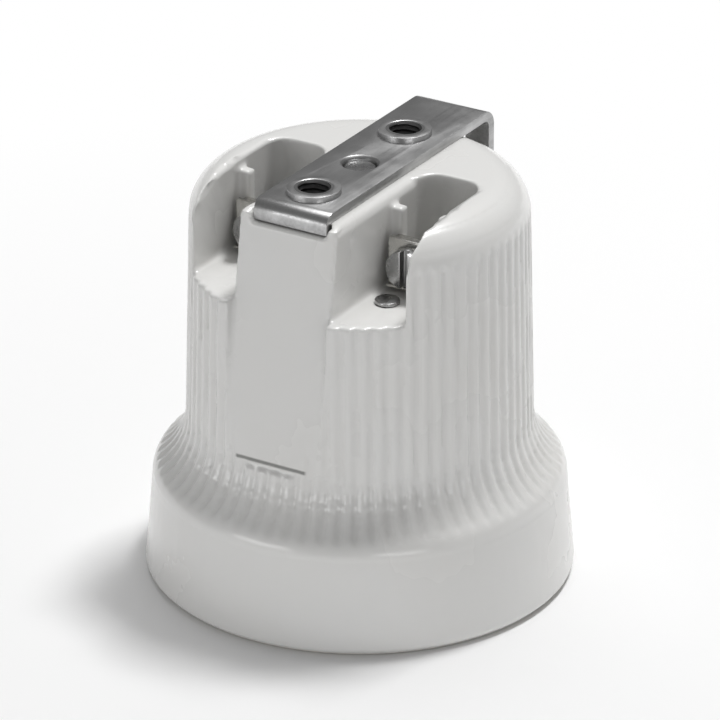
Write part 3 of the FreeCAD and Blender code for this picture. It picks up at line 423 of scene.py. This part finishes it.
def well_shade_group():
    """Mask of painted shade inside two upright wells, one on each side of the middle, which makes
    them dark.
    """
    group, ins, outs = new_group("Well Shade", [("Place", 0.0125), ("Radius", 0.0031)], ["Mask"])
    place = add(group, "ShaderNodeSeparateXYZ")
    group.links.new(add(group, "ShaderNodeTexCoord").outputs["Object"], place.inputs["Vector"])
    across = arithmetic(group, "ABSOLUTE", place.outputs["X"])
    off = arithmetic(group, "SUBTRACT", across, ins["Place"])
    square = arithmetic(group, "ADD", arithmetic(group, "MULTIPLY", off, off),
                        arithmetic(group, "MULTIPLY", place.outputs["Y"], place.outputs["Y"]))
    away = arithmetic(group, "SQRT", square)
    inside = remap(group, away, ins["Radius"], arithmetic(group, "MULTIPLY", ins["Radius"], 0.97))
    high = remap(group, place.outputs["Z"], WELL_BOTTOM, WELL_BOTTOM + MM)
    group.links.new(arithmetic(group, "MULTIPLY", inside, high), outs["Mask"])
    return group


def shadow_line_group():
    """Mask of a thin level line of painted shadow of some width, as far to each side as its reach.
    """
    group, ins, outs = new_group(
        "Shadow Line", [("Height", 0.02), ("Width", 0.0004), ("Reach", 0.008)], ["Mask"])
    place = add(group, "ShaderNodeSeparateXYZ")
    group.links.new(add(group, "ShaderNodeTexCoord").outputs["Object"], place.inputs["Vector"])
    above = arithmetic(group, "SUBTRACT", place.outputs["Z"], ins["Height"])
    off = arithmetic(group, "ABSOLUTE", above)
    line = remap(group, off, ins["Width"], arithmetic(group, "MULTIPLY", ins["Width"], 0.4))
    side = arithmetic(group, "ABSOLUTE", place.outputs["Y"])
    near_side = remap(group, side, ins["Reach"], arithmetic(group, "MULTIPLY", ins["Reach"], 0.93))
    group.links.new(arithmetic(group, "MULTIPLY", line, near_side), outs["Mask"])
    return group


def place_group(tree, group, **values):
    """One use of a node group with its own values."""
    node = add(tree, "ShaderNodeGroup", node_tree=group)
    return give(node, **values)


def empty_material(name):
    """A material with an empty node tree."""
    material = bpy.data.materials.new(name)
    material.use_nodes = True
    material.node_tree.nodes.clear()
    return material, material.node_tree


def new_material(name):
    """A material with a Principled shader and its output."""
    material, tree = empty_material(name)
    shader = add(tree, "ShaderNodeBsdfPrincipled")
    tree.links.new(shader.outputs["BSDF"], add(tree, "ShaderNodeOutputMaterial").inputs["Surface"])
    return material, tree, shader


def relief(tree, shader, height, depth):
    """Send a height to the shader's normal through a bump."""
    bump = give(add(tree, "ShaderNodeBump"), Distance=depth, Strength=1.0)
    tree.links.new(height, bump.inputs["Height"])
    tree.links.new(bump.outputs["Normal"], shader.inputs["Normal"])


def porcelain_material():
    """Glazed porcelain with a bare rim where it stood in the kiln, dust and painted shade in its
    corners, painted shade in its two wells and a painted shadow line across each panel.
    """
    settings = bpy.context.scene.lamp_holder_porcelain
    material, tree, shader = new_material("Glazed porcelain")
    glaze = place_group(tree, group_named("Fired Glaze", glaze_group))
    dust_and_shade = place_group(tree, group_named("Corner Dust and Shade", corner_dust_and_shade_group),
                       Reach=0.005, Scale=260.0, Amount=0.34)
    colour = tuple(settings.glaze_colour)
    warm = tuple(channel * shade for channel, shade in zip(colour, (0.99, 0.98, 0.965)))
    tint = blend_colour(tree, remap(tree, glaze.outputs["Cloud"], 0.2, 0.8), colour, warm)
    # Dust and painted shade: corners that occlusion finds are darkened towards a dusty grey and
    # turn rougher.
    tint = blend_colour(tree, dust_and_shade.outputs["Mask"], tint, (0.34, 0.33, 0.31))
    well_shade = place_group(tree, group_named("Well Shade", well_shade_group), Radius=WELL_RADIUS,
                        Place=bpy.context.scene.lamp_holder_thread.bush_place)
    # Painted shade: the insides of the two wells are made near black.
    tint = blend_colour(tree, well_shade.outputs["Mask"], tint, (0.02, 0.02, 0.018))
    # Painted shadow: a dark line across each flat panel near its foot, standing in for the shade at
    # the panel's ledge.
    foot = place_group(tree, group_named("Shadow Line", shadow_line_group), Height=settings.panel_foot,
                       Width=SHADOW_LINE_WIDTH, Reach=settings.panel_half_width)
    shade = arithmetic(tree, "MULTIPLY", foot.outputs["Mask"], 0.8)
    tint = blend_colour(tree, shade, tint, (0.10, 0.10, 0.09))
    place = add(tree, "ShaderNodeSeparateXYZ")
    tree.links.new(add(tree, "ShaderNodeTexCoord").outputs["Object"], place.inputs["Vector"])
    wander = arithmetic(tree, "MULTIPLY", glaze.outputs["Cloud"], BARE_WANDER)
    height = arithmetic(tree, "ADD", place.outputs["Z"], wander)
    bare = remap(tree, height, BARE_RIM + BARE_BLEND, BARE_RIM)
    tint = blend_colour(tree, bare, tint, tuple(settings.bisque_colour))
    tree.links.new(tint, shader.inputs["Base Color"])
    rough = remap(tree, glaze.outputs["Cloud"], 0.2, 0.8, settings.glaze_roughness - 0.04,
                  settings.glaze_roughness + 0.05)
    rough = arithmetic(tree, "ADD", rough, arithmetic(tree, "MULTIPLY", dust_and_shade.outputs["Mask"], 0.5))
    tree.links.new(arithmetic(tree, "MAXIMUM", rough, arithmetic(tree, "MULTIPLY", bare, 0.75)),
                   shader.inputs["Roughness"])
    tree.links.new(remap(tree, bare, 0.0, 1.0, 0.4, 0.0), shader.inputs["Coat Weight"])
    give(shader, Coat_Roughness=0.13, IOR=1.52)
    relief(tree, shader, glaze.outputs["Ripple"], RIPPLE_DEPTH)
    return material


def metal_material(name, colour, roughness, grain=(120.0, 2600.0, 2600.0), wear=0.4, dirt_and_shade=0.35,
                   dark=(0.10, 0.10, 0.10)):
    """Plated or bare metal with its drawn grain, worn edges, and dust and painted shade in the
    corners.
    """
    material, tree, shader = new_material(name)
    lines = place_group(tree, group_named("Drawn Grain", grain_group),
                        Along_X=grain[0], Along_Y=grain[1], Along_Z=grain[2])
    worn = place_group(tree, group_named("Edge Wear", edge_wear_group),
                       Radius=0.25 * MM, Scale=900.0, Amount=wear)
    dust_and_shade = place_group(tree, group_named("Corner Dust and Shade", corner_dust_and_shade_group),
                       Reach=0.0025, Scale=500.0, Amount=dirt_and_shade)
    deep = tuple(channel * 0.72 for channel in colour)
    bright = tuple(min(1.0, channel * 1.35) for channel in colour)
    tint = blend_colour(tree, lines.outputs["Tone"], deep, colour)
    tint = blend_colour(tree, worn.outputs["Mask"], tint, bright)
    # Dust and painted shade: corners that occlusion finds are darkened towards the dark colour and
    # turn rougher and less metallic.
    tint = blend_colour(tree, dust_and_shade.outputs["Mask"], tint, dark)
    tree.links.new(tint, shader.inputs["Base Color"])
    rough = remap(tree, lines.outputs["Tone"], 0.0, 1.0, roughness + 0.10, roughness - 0.06)
    rough = arithmetic(tree, "ADD", rough, arithmetic(tree, "MULTIPLY", dust_and_shade.outputs["Mask"], 0.45))
    rubbed = arithmetic(tree, "MULTIPLY", worn.outputs["Mask"], 0.1)
    tree.links.new(arithmetic(tree, "SUBTRACT", rough, rubbed), shader.inputs["Roughness"])
    tree.links.new(remap(tree, dust_and_shade.outputs["Mask"], 0.0, 1.0, 1.0, 0.35),
                   shader.inputs["Metallic"])
    relief(tree, shader, lines.outputs["Height"], GRAIN_DEPTH)
    return material


def mica_material():
    """Flaky amber mica."""
    material, tree, shader = new_material("Mica disc")
    glaze = place_group(tree, group_named("Fired Glaze", glaze_group), Ripple_Scale=420.0)
    tint = blend_colour(tree, remap(tree, glaze.outputs["Ripple"], 0.3, 0.7),
                        (0.36, 0.27, 0.17), (0.50, 0.41, 0.28))
    tree.links.new(tint, shader.inputs["Base Color"])
    tree.links.new(remap(tree, glaze.outputs["Ripple"], 0.3, 0.7, 0.32, 0.5),
                   shader.inputs["Roughness"])
    relief(tree, shader, glaze.outputs["Ripple"], 0.05 * MM)
    return material


def group_named(name, maker):
    """A node group, built on its first use."""
    return bpy.data.node_groups.get(name) or maker()


# Mesh tools

def new_object(name, mesh):
    """An object of that mesh in the scene."""
    piece = bpy.data.objects.new(name, mesh)
    bpy.context.scene.collection.objects.link(piece)
    return piece


def evaluated(piece):
    """Apply a piece's modifiers to its mesh."""
    graph = bpy.context.evaluated_depsgraph_get()
    mesh = bpy.data.meshes.new_from_object(piece.evaluated_get(graph))
    piece.modifiers.clear()
    piece.data = mesh
    return piece


def dress(piece, material, body, slot, *nodes):
    """Give a piece its material and the body it rides on, and hide the nodes it stands for; the
    slot is not used.
    """
    piece.data.materials.clear()
    piece.data.materials.append(material)
    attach(piece, body)
    if nodes:
        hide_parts(*nodes)
    return piece


def copied(node, name, merge=False):
    """A welded copy of a node's solid, with its nearly flat faces joined up if merge is set."""
    form = bmesh.new()
    form.from_mesh(frame["nodes"][node].data)
    bmesh.ops.remove_doubles(form, verts=form.verts, dist=1e-6)
    if merge:
        bmesh.ops.dissolve_limit(
            form, angle_limit=FLAT_ANGLE, verts=form.verts, edges=form.edges)
    mesh = bpy.data.meshes.new(name)
    form.to_mesh(mesh)
    form.free()
    return new_object(name, mesh)


def borrowed_normals(piece, dense):
    """Shade a thinned piece with the normals of its dense form, and take that form away."""
    borrow = piece.modifiers.new("Normals", "DATA_TRANSFER")
    borrow.object = dense
    borrow.use_loop_data = True
    borrow.data_types_loops = {"CUSTOM_NORMAL"}
    borrow.loop_mapping = "POLYINTERP_NEAREST"
    evaluated(piece)
    bpy.data.objects.remove(dense)
    return piece


def broken_edges(node, name, edge):
    """A copy of a node's solid with its sharp edges broken."""
    piece = copied(node, name, merge=True)
    bevel = piece.modifiers.new("Broken edges", "BEVEL")
    bevel.width = edge
    bevel.segments = EDGE_SEGMENTS
    bevel.limit_method = "ANGLE"
    bevel.angle_limit = SHARP_ANGLE
    bevel.use_clamp_overlap = True
    evaluated(piece)
    piece.data.shade_smooth()
    piece.data.set_sharp_from_angle(angle=SHARP_ANGLE)
    return piece


def settle_head(piece, room):
    """Lower the upper half of a rivet by a hair, so that the clamp slides clear over it."""
    middle = sum(corner[2] for corner in piece.bound_box) / 8
    for vertex in piece.data.vertices:
        if vertex.co.z > middle:
            vertex.co.z -= room


def arc_points(centre_x, centre_z, radius, first, last, steps):
    """Radius and height along an arc between two angles, both ends among them."""
    turns = [first + (last - first) * step / steps for step in range(steps + 1)]
    return [(centre_x + radius * math.cos(turn), centre_z + radius * math.sin(turn))
            for turn in turns]


def body_outline(settings, low_steps, high_steps, shoulder_steps):
    """Radius against height of the outside: flare, neck and shoulder, in that many steps."""
    low = settings.flare_low_radius
    high = settings.flare_high_radius
    rest = low + high - (settings.rim_top_radius - settings.neck_radius)
    turn = math.acos(rest / (low + high))
    neck_bottom = settings.rim_height + math.sqrt((low + high) ** 2 - rest ** 2)
    neck_top = body_high.z - settings.shoulder_radius
    return (arc_points(settings.rim_top_radius - low, settings.rim_height, low, 0, turn, low_steps)
            + arc_points(settings.neck_radius + high, neck_bottom, high, math.pi + turn, math.pi,
                         high_steps)[1:]
            + arc_points(settings.neck_top_radius - settings.shoulder_radius, neck_top,
                         settings.shoulder_radius, 0, math.pi / 2, shoulder_steps))


def radius_at(points, height):
    """Radius of an outline at a height, or nothing beyond its ends."""
    for (near_radius, near_height), (far_radius, far_height) in zip(points, points[1:]):
        if near_height <= height <= far_height:
            share = (height - near_height) / max(far_height - near_height, 1e-9)
            return near_radius + (far_radius - near_radius) * share
    return None


def round_outside(mesh, settings):
    """Move the outside from the flat steps of the solid to the true curves."""
    stepped = body_outline(settings, *SOLID_STEPS)
    smooth = body_outline(settings, *CURVE_STEPS)
    for vertex in mesh.vertices:
        before = radius_at(stepped, vertex.co.z)
        after = radius_at(smooth, vertex.co.z)
        radius = math.hypot(vertex.co.x, vertex.co.y)
        if before is None or after is None or radius < before - OUTER_SKIN:
            continue
        weight = min(1.0, (radius - before + OUTER_SKIN) / (OUTER_SKIN / 2))
        grow = 1 + weight * (after - before) / radius
        vertex.co.x *= grow
        vertex.co.y *= grow


def swept_loop(name, rings, sides):
    """A closed skin through rings, where each ring gives its radius and height at an angle."""
    form = bmesh.new()
    rows = []
    for ring in rings:
        row = []
        for side in range(sides):
            angle = 2 * math.pi * side / sides
            radius, height = ring(angle)
            row.append(form.verts.new((radius * math.cos(angle), radius * math.sin(angle), height)))
        rows.append(row)
    for row, above in zip(rows, rows[1:] + rows[:1]):
        for side in range(sides):
            after = (side + 1) % sides
            form.faces.new((row[side], row[after], above[after], above[side]))
    bmesh.ops.recalc_face_normals(form, faces=form.faces)
    mesh = bpy.data.meshes.new(name)
    form.to_mesh(mesh)
    form.free()
    piece = new_object(name, mesh)
    mesh.shade_smooth()
    return piece


def lamp_thread(settings, low, high):
    """The rolled shell: lip, collar, knuckle thread and the bend into the flange."""
    inner = settings.inner_radius
    sheet = settings.sheet
    bottom = low + settings.lead_in
    top = high - settings.lead_out
    lip = shell_high.x

    def ring(radius, height):
        runout = settings.pitch / 2
        fade = min(1.0, (height - bottom) / runout, (top - height) / runout)
        swing = settings.swing * math.sin(max(fade, 0.0) * math.pi / 2)
        phase = 2 * math.pi * (height - bottom) / settings.pitch
        return lambda angle: (radius + swing * math.cos(angle - phase), height)

    count = round((top - bottom) / settings.level)
    levels = [bottom + (top - bottom) * step / count for step in range(count + 1)]
    lip_top = low + 2 * sheet
    bead = arc_points(lip - sheet, low + sheet, sheet, -math.pi / 2, math.pi / 2, 8)
    outer = inner + sheet
    collar = arc_points(outer + sheet, lip_top + sheet, sheet, 1.5 * math.pi, math.pi, 5)
    shoulder = arc_points(outer - sheet, high - sheet, sheet, 0, math.pi / 2, 5)
    crease = arc_points(inner - sheet / 2, high - 1.5 * sheet, sheet / 2, math.pi / 2, 0, 4)
    foot = arc_points(inner + 1.5 * sheet, lip_top + sheet / 2, 1.5 * sheet,
                      math.pi, 1.5 * math.pi, 5)
    rings = [ring(radius, height) for radius, height in bead + collar]
    rings += [ring(outer, height) for height in levels]
    rings += [ring(radius, height) for radius, height in shoulder + [(outer - 2 * sheet, high)]]
    rings += [ring(outer - 2 * sheet, high - sheet)]
    rings += [ring(radius, height) for radius, height in crease]
    rings += [ring(inner, height) for height in reversed(levels)]
    rings += [ring(radius, height) for radius, height in foot]
    return swept_loop("screw_shell_rolled", rings, settings.sides)


def bush_thread(settings, name, place, high):
    """The fine thread inside one bush, a ridged lining of its hole."""
    low = high - settings.bush_height
    count = round(settings.bush_height / settings.bush_pitch * BUSH_STEPS)

    def ring(height):
        def at(angle):
            turn = (height - low) / settings.bush_pitch - angle / (2 * math.pi)
            ridge = 1 - abs(2 * (turn % 1.0) - 1)
            return settings.bush_radius - settings.bush_depth * ridge, height
        return at

    back = settings.bush_radius + settings.bush_depth
    rings = [ring(low + settings.bush_height * step / count) for step in range(count + 1)]
    rings += [lambda angle: (back, high), lambda angle: (back, low)]
    piece = swept_loop(name, rings, BUSH_SIDES)
    piece.data.transform(Matrix.Translation((place, 0, 0)))
    piece.data.set_sharp_from_angle(angle=SHARP_ANGLE)
    return piece


def flange_of_shell():
    """The shell's riveted flange with its tongue, cut from the shell's solid above the bend."""
    form = bmesh.new()
    form.from_mesh(frame["nodes"]["screw_shell"].data)
    floor = shell_high.z - FLANGE_CUT
    low = [face for face in form.faces if any(corner.co.z < floor for corner in face.verts)]
    bmesh.ops.delete(form, geom=low, context="FACES")
    mesh = bpy.data.meshes.new("screw_shell_flange")
    form.to_mesh(mesh)
    form.free()
    return new_object("screw_shell_flange", mesh)


# Operators

class LAMPHOLDER_OT_porcelain(bpy.types.Operator):
    """Round over the porcelain body as its glaze does and glaze it"""

    bl_idname = "lampholder.porcelain"
    bl_label = "Porcelain body"

    def execute(self, context):
        settings = context.scene.lamp_holder_porcelain
        piece = copied("porcelain_body", "porcelain_glazed")
        aside = Vector((0.31, 0.17, 0.43)) * settings.voxel  # no edge of the solid lies on the grid
        piece.data.transform(Matrix.Translation(aside))
        grid = piece.modifiers.new("Grid", "REMESH")
        grid.mode = "VOXEL"
        grid.voxel_size = settings.voxel
        smooth = piece.modifiers.new("Glaze", "SMOOTH")
        smooth.factor = 0.5
        smooth.iterations = settings.softening
        evaluated(piece)
        piece.data.transform(Matrix.Translation(-aside))
        round_outside(piece.data, settings)
        piece.data.shade_smooth()
        dense = new_object("porcelain_dense", piece.data.copy())
        thin = piece.modifiers.new("Thin", "DECIMATE")
        thin.ratio = min(1.0, settings.triangles / (2 * len(piece.data.polygons)))
        evaluated(piece)
        piece.data.shade_smooth()
        borrowed_normals(piece, dense)
        dress(piece, porcelain_material(), HOLDER, "glazed_porcelain", "porcelain_body")
        return {"FINISHED"}


class LAMPHOLDER_OT_bracket(bpy.types.Operator):
    """Break the edges of the fixing bracket and plate it"""

    bl_idname = "lampholder.bracket"
    bl_label = "Fixing bracket"

    def execute(self, context):
        metals = context.scene.lamp_holder_metal
        zinc = metal_material("Zinc plated steel", tuple(metals.zinc_colour), 0.34,
                              grain=(90.0, 1900.0, 1900.0), wear=0.6, dirt_and_shade=0.4)
        piece = broken_edges("fixing_bracket", "bracket_strip", metals.edge)
        dress(piece, zinc, HOLDER, "zinc_plated_steel", "fixing_bracket")
        threads = context.scene.lamp_holder_thread
        # Painted shade: the bush threads get a darker copy of the zinc plate, near black in their
        # corners, so the tapped holes look dark.
        shade = tuple(0.45 * part for part in metals.zinc_colour)
        dark = metal_material("Tapped hole in painted shade", shade, 0.42, grain=(900.0, 900.0, 900.0), wear=0.3,
                              dirt_and_shade=0.9, dark=(0.02, 0.02, 0.02))
        for name, place in (("bush_thread_far", threads.bush_place),
                            ("bush_thread_near", -threads.bush_place)):
            tapped = bush_thread(threads, name, place, bracket_high.z - BUSH_SET_DOWN)
            dress(tapped, dark, HOLDER, "zinc_plated_steel")
        return {"FINISHED"}


class LAMPHOLDER_OT_fasteners(bpy.types.Operator):
    """Finish the screws, nut, washers and rivets"""

    bl_idname = "lampholder.fasteners"
    bl_label = "Screws, nut, washers and rivets"

    def execute(self, context):
        metals = context.scene.lamp_holder_metal
        steel = metal_material("Bright screw steel", tuple(metals.screw_colour), 0.26,
                               grain=(900.0, 900.0, 900.0), wear=0.6, dirt_and_shade=0.35)
        for node in ("bracket_screw", "bracket_screw_washer", "contact_screw", "contact_screw_nut",
                     "contact_lock_washer", "shell_terminal_screw", "contact_terminal_screw",
                     "shell_rivet_terminal", "shell_rivet_right", "shell_rivet_left"):
            piece = broken_edges(node, node + "_finished", metals.edge)
            if node in ("shell_rivet_right", "shell_rivet_left"):
                settle_head(piece, metals.head_room)
            slot = "nickel_plated_brass" if "rivet" in node else "screw_steel"
            dress(piece, steel, frame["nodes"][node]["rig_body"], slot, node)
        return {"FINISHED"}


class LAMPHOLDER_OT_current_parts(bpy.types.Operator):
    """Finish the shell, the centre contact, the terminal plates and the wire clamps"""

    bl_idname = "lampholder.current_parts"
    bl_label = "Shell, contact and terminals"

    def execute(self, context):
        metals = context.scene.lamp_holder_metal
        nickel = metal_material("Nickel plated brass", tuple(metals.nickel_colour), 0.22,
                                grain=(700.0, 700.0, 300.0), wear=0.35, dirt_and_shade=0.3)
        for node in ("centre_contact", "shell_terminal_plate", "contact_terminal_plate",
                     "shell_wire_clamp", "contact_wire_clamp"):
            piece = broken_edges(node, node + "_finished", metals.edge)
            dress(piece, nickel, frame["nodes"][node]["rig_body"], "nickel_plated_brass", node)
        threads = context.scene.lamp_holder_thread
        rolled = lamp_thread(threads, shell_low.z, shell_high.z)
        dress(rolled, nickel, HOLDER, "nickel_plated_brass", "screw_shell")
        dress(flange_of_shell(), nickel, HOLDER, "nickel_plated_brass", "screw_shell")
        spring = broken_edges("contact_spring", "contact_spring_finished", metals.edge / 4)
        steel = metal_material("Spring steel", tuple(metals.spring_colour), 0.3,
                               grain=(900.0, 900.0, 900.0))
        dress(spring, steel, frame["nodes"]["contact_spring"]["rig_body"], "spring_steel",
              "contact_spring")
        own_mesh(spring)
        disc = broken_edges("insulating_disc", "insulating_disc_finished", metals.edge)
        dress(disc, mica_material(), HOLDER, "mica", "insulating_disc")
        return {"FINISHED"}


def softbox(name, place, aim, width, height, power):
    """An area lamp at a place, turned to a point."""
    data = bpy.data.lights.new(name, "AREA")
    data.shape = "RECTANGLE"
    data.size = width
    data.size_y = height
    data.energy = power
    lamp = bpy.data.objects.new(name, data)
    bpy.context.scene.collection.objects.link(lamp)
    lamp.location = place
    lamp.rotation_euler = (Vector(aim) - Vector(place)).to_track_quat("-Z", "Y").to_euler()
    return lamp


def floor_material(colour):
    """Pale floor that keeps the shadow near the object and runs out to white."""
    material, tree = empty_material("Pale floor")
    output = add(tree, "ShaderNodeOutputMaterial")
    plain = give(add(tree, "ShaderNodeBsdfDiffuse"), Color=(*colour, 1.0))
    white = give(add(tree, "ShaderNodeEmission"), Color=(1.0, 1.0, 1.0, 1.0), Strength=1.0)
    clear = add(tree, "ShaderNodeBsdfTransparent")
    place = add(tree, "ShaderNodeTexCoord").outputs["Object"]
    away = add(tree, "ShaderNodeVectorMath", operation="LENGTH")
    tree.links.new(place, away.inputs[0])
    fade = remap(tree, away.outputs["Value"], FADE_START, FADE_END)
    rays = add(tree, "ShaderNodeLightPath").outputs
    seen = arithmetic(tree, "ADD", rays["Is Camera Ray"],
                      arithmetic(tree, "ADD", rays["Is Glossy Ray"], rays["Is Transmission Ray"]))
    seen = arithmetic(tree, "MINIMUM", seen, 1.0)
    lit = add(tree, "ShaderNodeMixShader")
    tree.links.new(arithmetic(tree, "MULTIPLY", fade, seen), lit.inputs[0])
    tree.links.new(plain.outputs[0], lit.inputs[1])
    tree.links.new(white.outputs[0], lit.inputs[2])
    under = add(tree, "ShaderNodeMixShader")
    tree.links.new(add(tree, "ShaderNodeNewGeometry").outputs["Backfacing"], under.inputs[0])
    tree.links.new(lit.outputs[0], under.inputs[1])
    tree.links.new(clear.outputs[0], under.inputs[2])
    tree.links.new(under.outputs[0], output.inputs["Surface"])
    return material


class LAMPHOLDER_OT_stage(bpy.types.Operator):
    """Put the lamp holder on a pale floor under soft lamps, with its camera"""

    bl_idname = "lampholder.stage"
    bl_label = "Stage"

    def execute(self, context):
        settings = context.scene.lamp_holder_stage
        ground = bmesh.new()
        for radius in (settings.floor_opening, settings.floor_radius):
            bmesh.ops.create_circle(ground, cap_ends=False, segments=FLOOR_SIDES, radius=radius)
        bmesh.ops.bridge_loops(ground, edges=ground.edges)
        bmesh.ops.recalc_face_normals(ground, faces=ground.faces)
        if ground.faces[:][0].normal.z < 0:
            bmesh.ops.reverse_faces(ground, faces=ground.faces)
        mesh = bpy.data.meshes.new("floor")
        ground.to_mesh(mesh)
        ground.free()
        floor = new_object("floor", mesh)
        floor.location.z = cad_low.z - settings.floor_gap
        mesh.materials.append(floor_material(tuple(settings.floor_colour)))

        centre = (cad_low + cad_high) / 2
        for name, place, width, height, power in SOFTBOXES:
            softbox(name, place, centre, width, height, power)

        world = context.scene.world or bpy.data.worlds.new("Studio")
        context.scene.world = world
        world.use_nodes = True
        tree = world.node_tree
        tree.nodes.clear()
        rays = add(tree, "ShaderNodeLightPath").outputs
        seen = arithmetic(tree, "MAXIMUM", rays["Is Camera Ray"], rays["Is Transmission Ray"])
        strength = remap(tree, seen, 0.0, 1.0, settings.fill, 1.0)
        sky = give(add(tree, "ShaderNodeBackground"), Color=(1.0, 1.0, 1.0, 1.0))
        tree.links.new(strength, sky.inputs["Strength"])
        tree.links.new(sky.outputs[0], add(tree, "ShaderNodeOutputWorld").inputs["Surface"])

        data = bpy.data.cameras.new("Camera")
        data.lens = settings.lens
        data.clip_start = 0.01
        camera = bpy.data.objects.new("Camera", data)
        context.scene.collection.objects.link(camera)
        camera.location = settings.camera_place
        aim = (centre - camera.location).to_track_quat("-Z", "Y")
        camera.rotation_euler = aim.to_euler()
        context.scene.camera = camera
        context.scene.view_settings.view_transform = "Standard"
        return {"FINISHED"}


class LAMPHOLDER_PT_sidebar(bpy.types.Panel):
    """Lists the lamp holder's pieces and settings."""

    bl_idname = "LAMPHOLDER_PT_sidebar"
    bl_label = "Lamp Holder"
    bl_space_type = "VIEW_3D"
    bl_region_type = "UI"
    bl_category = "Lamp Holder"

    def draw(self, context):
        for operator in OPERATORS:
            self.layout.operator(operator.bl_idname)
        for name in SETTINGS:
            group = getattr(context.scene, name)
            for prop in group.bl_rna.properties:
                if prop.identifier not in ("rna_type", "name"):
                    self.layout.prop(group, prop.identifier)


SETTINGS = {
    "lamp_holder_porcelain": PorcelainSettings,
    "lamp_holder_metal": MetalSettings,
    "lamp_holder_thread": ThreadSettings,
    "lamp_holder_stage": StageSettings,
}
OPERATORS = [
    LAMPHOLDER_OT_porcelain,
    LAMPHOLDER_OT_bracket,
    LAMPHOLDER_OT_fasteners,
    LAMPHOLDER_OT_current_parts,
    LAMPHOLDER_OT_stage,
]


def register():
    """Make the settings, operators and panel known."""
    for name, group in SETTINGS.items():
        bpy.utils.register_class(group)
        setattr(bpy.types.Scene, name, bpy.props.PointerProperty(type=group))
    for item in [*OPERATORS, LAMPHOLDER_PT_sidebar]:
        bpy.utils.register_class(item)


def unregister():
    """Take the panel, operators and settings away again."""
    for item in [LAMPHOLDER_PT_sidebar, *reversed(OPERATORS)]:
        bpy.utils.unregister_class(item)
    for name, group in reversed(list(SETTINGS.items())):
        delattr(bpy.types.Scene, name)
        bpy.utils.unregister_class(group)


def main():
    """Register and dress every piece."""
    register()
    bpy.ops.lampholder.porcelain()
    bpy.ops.lampholder.bracket()
    bpy.ops.lampholder.fasteners()
    bpy.ops.lampholder.current_parts()
    bpy.ops.lampholder.stage()


if __name__ == "__main__":
    main()
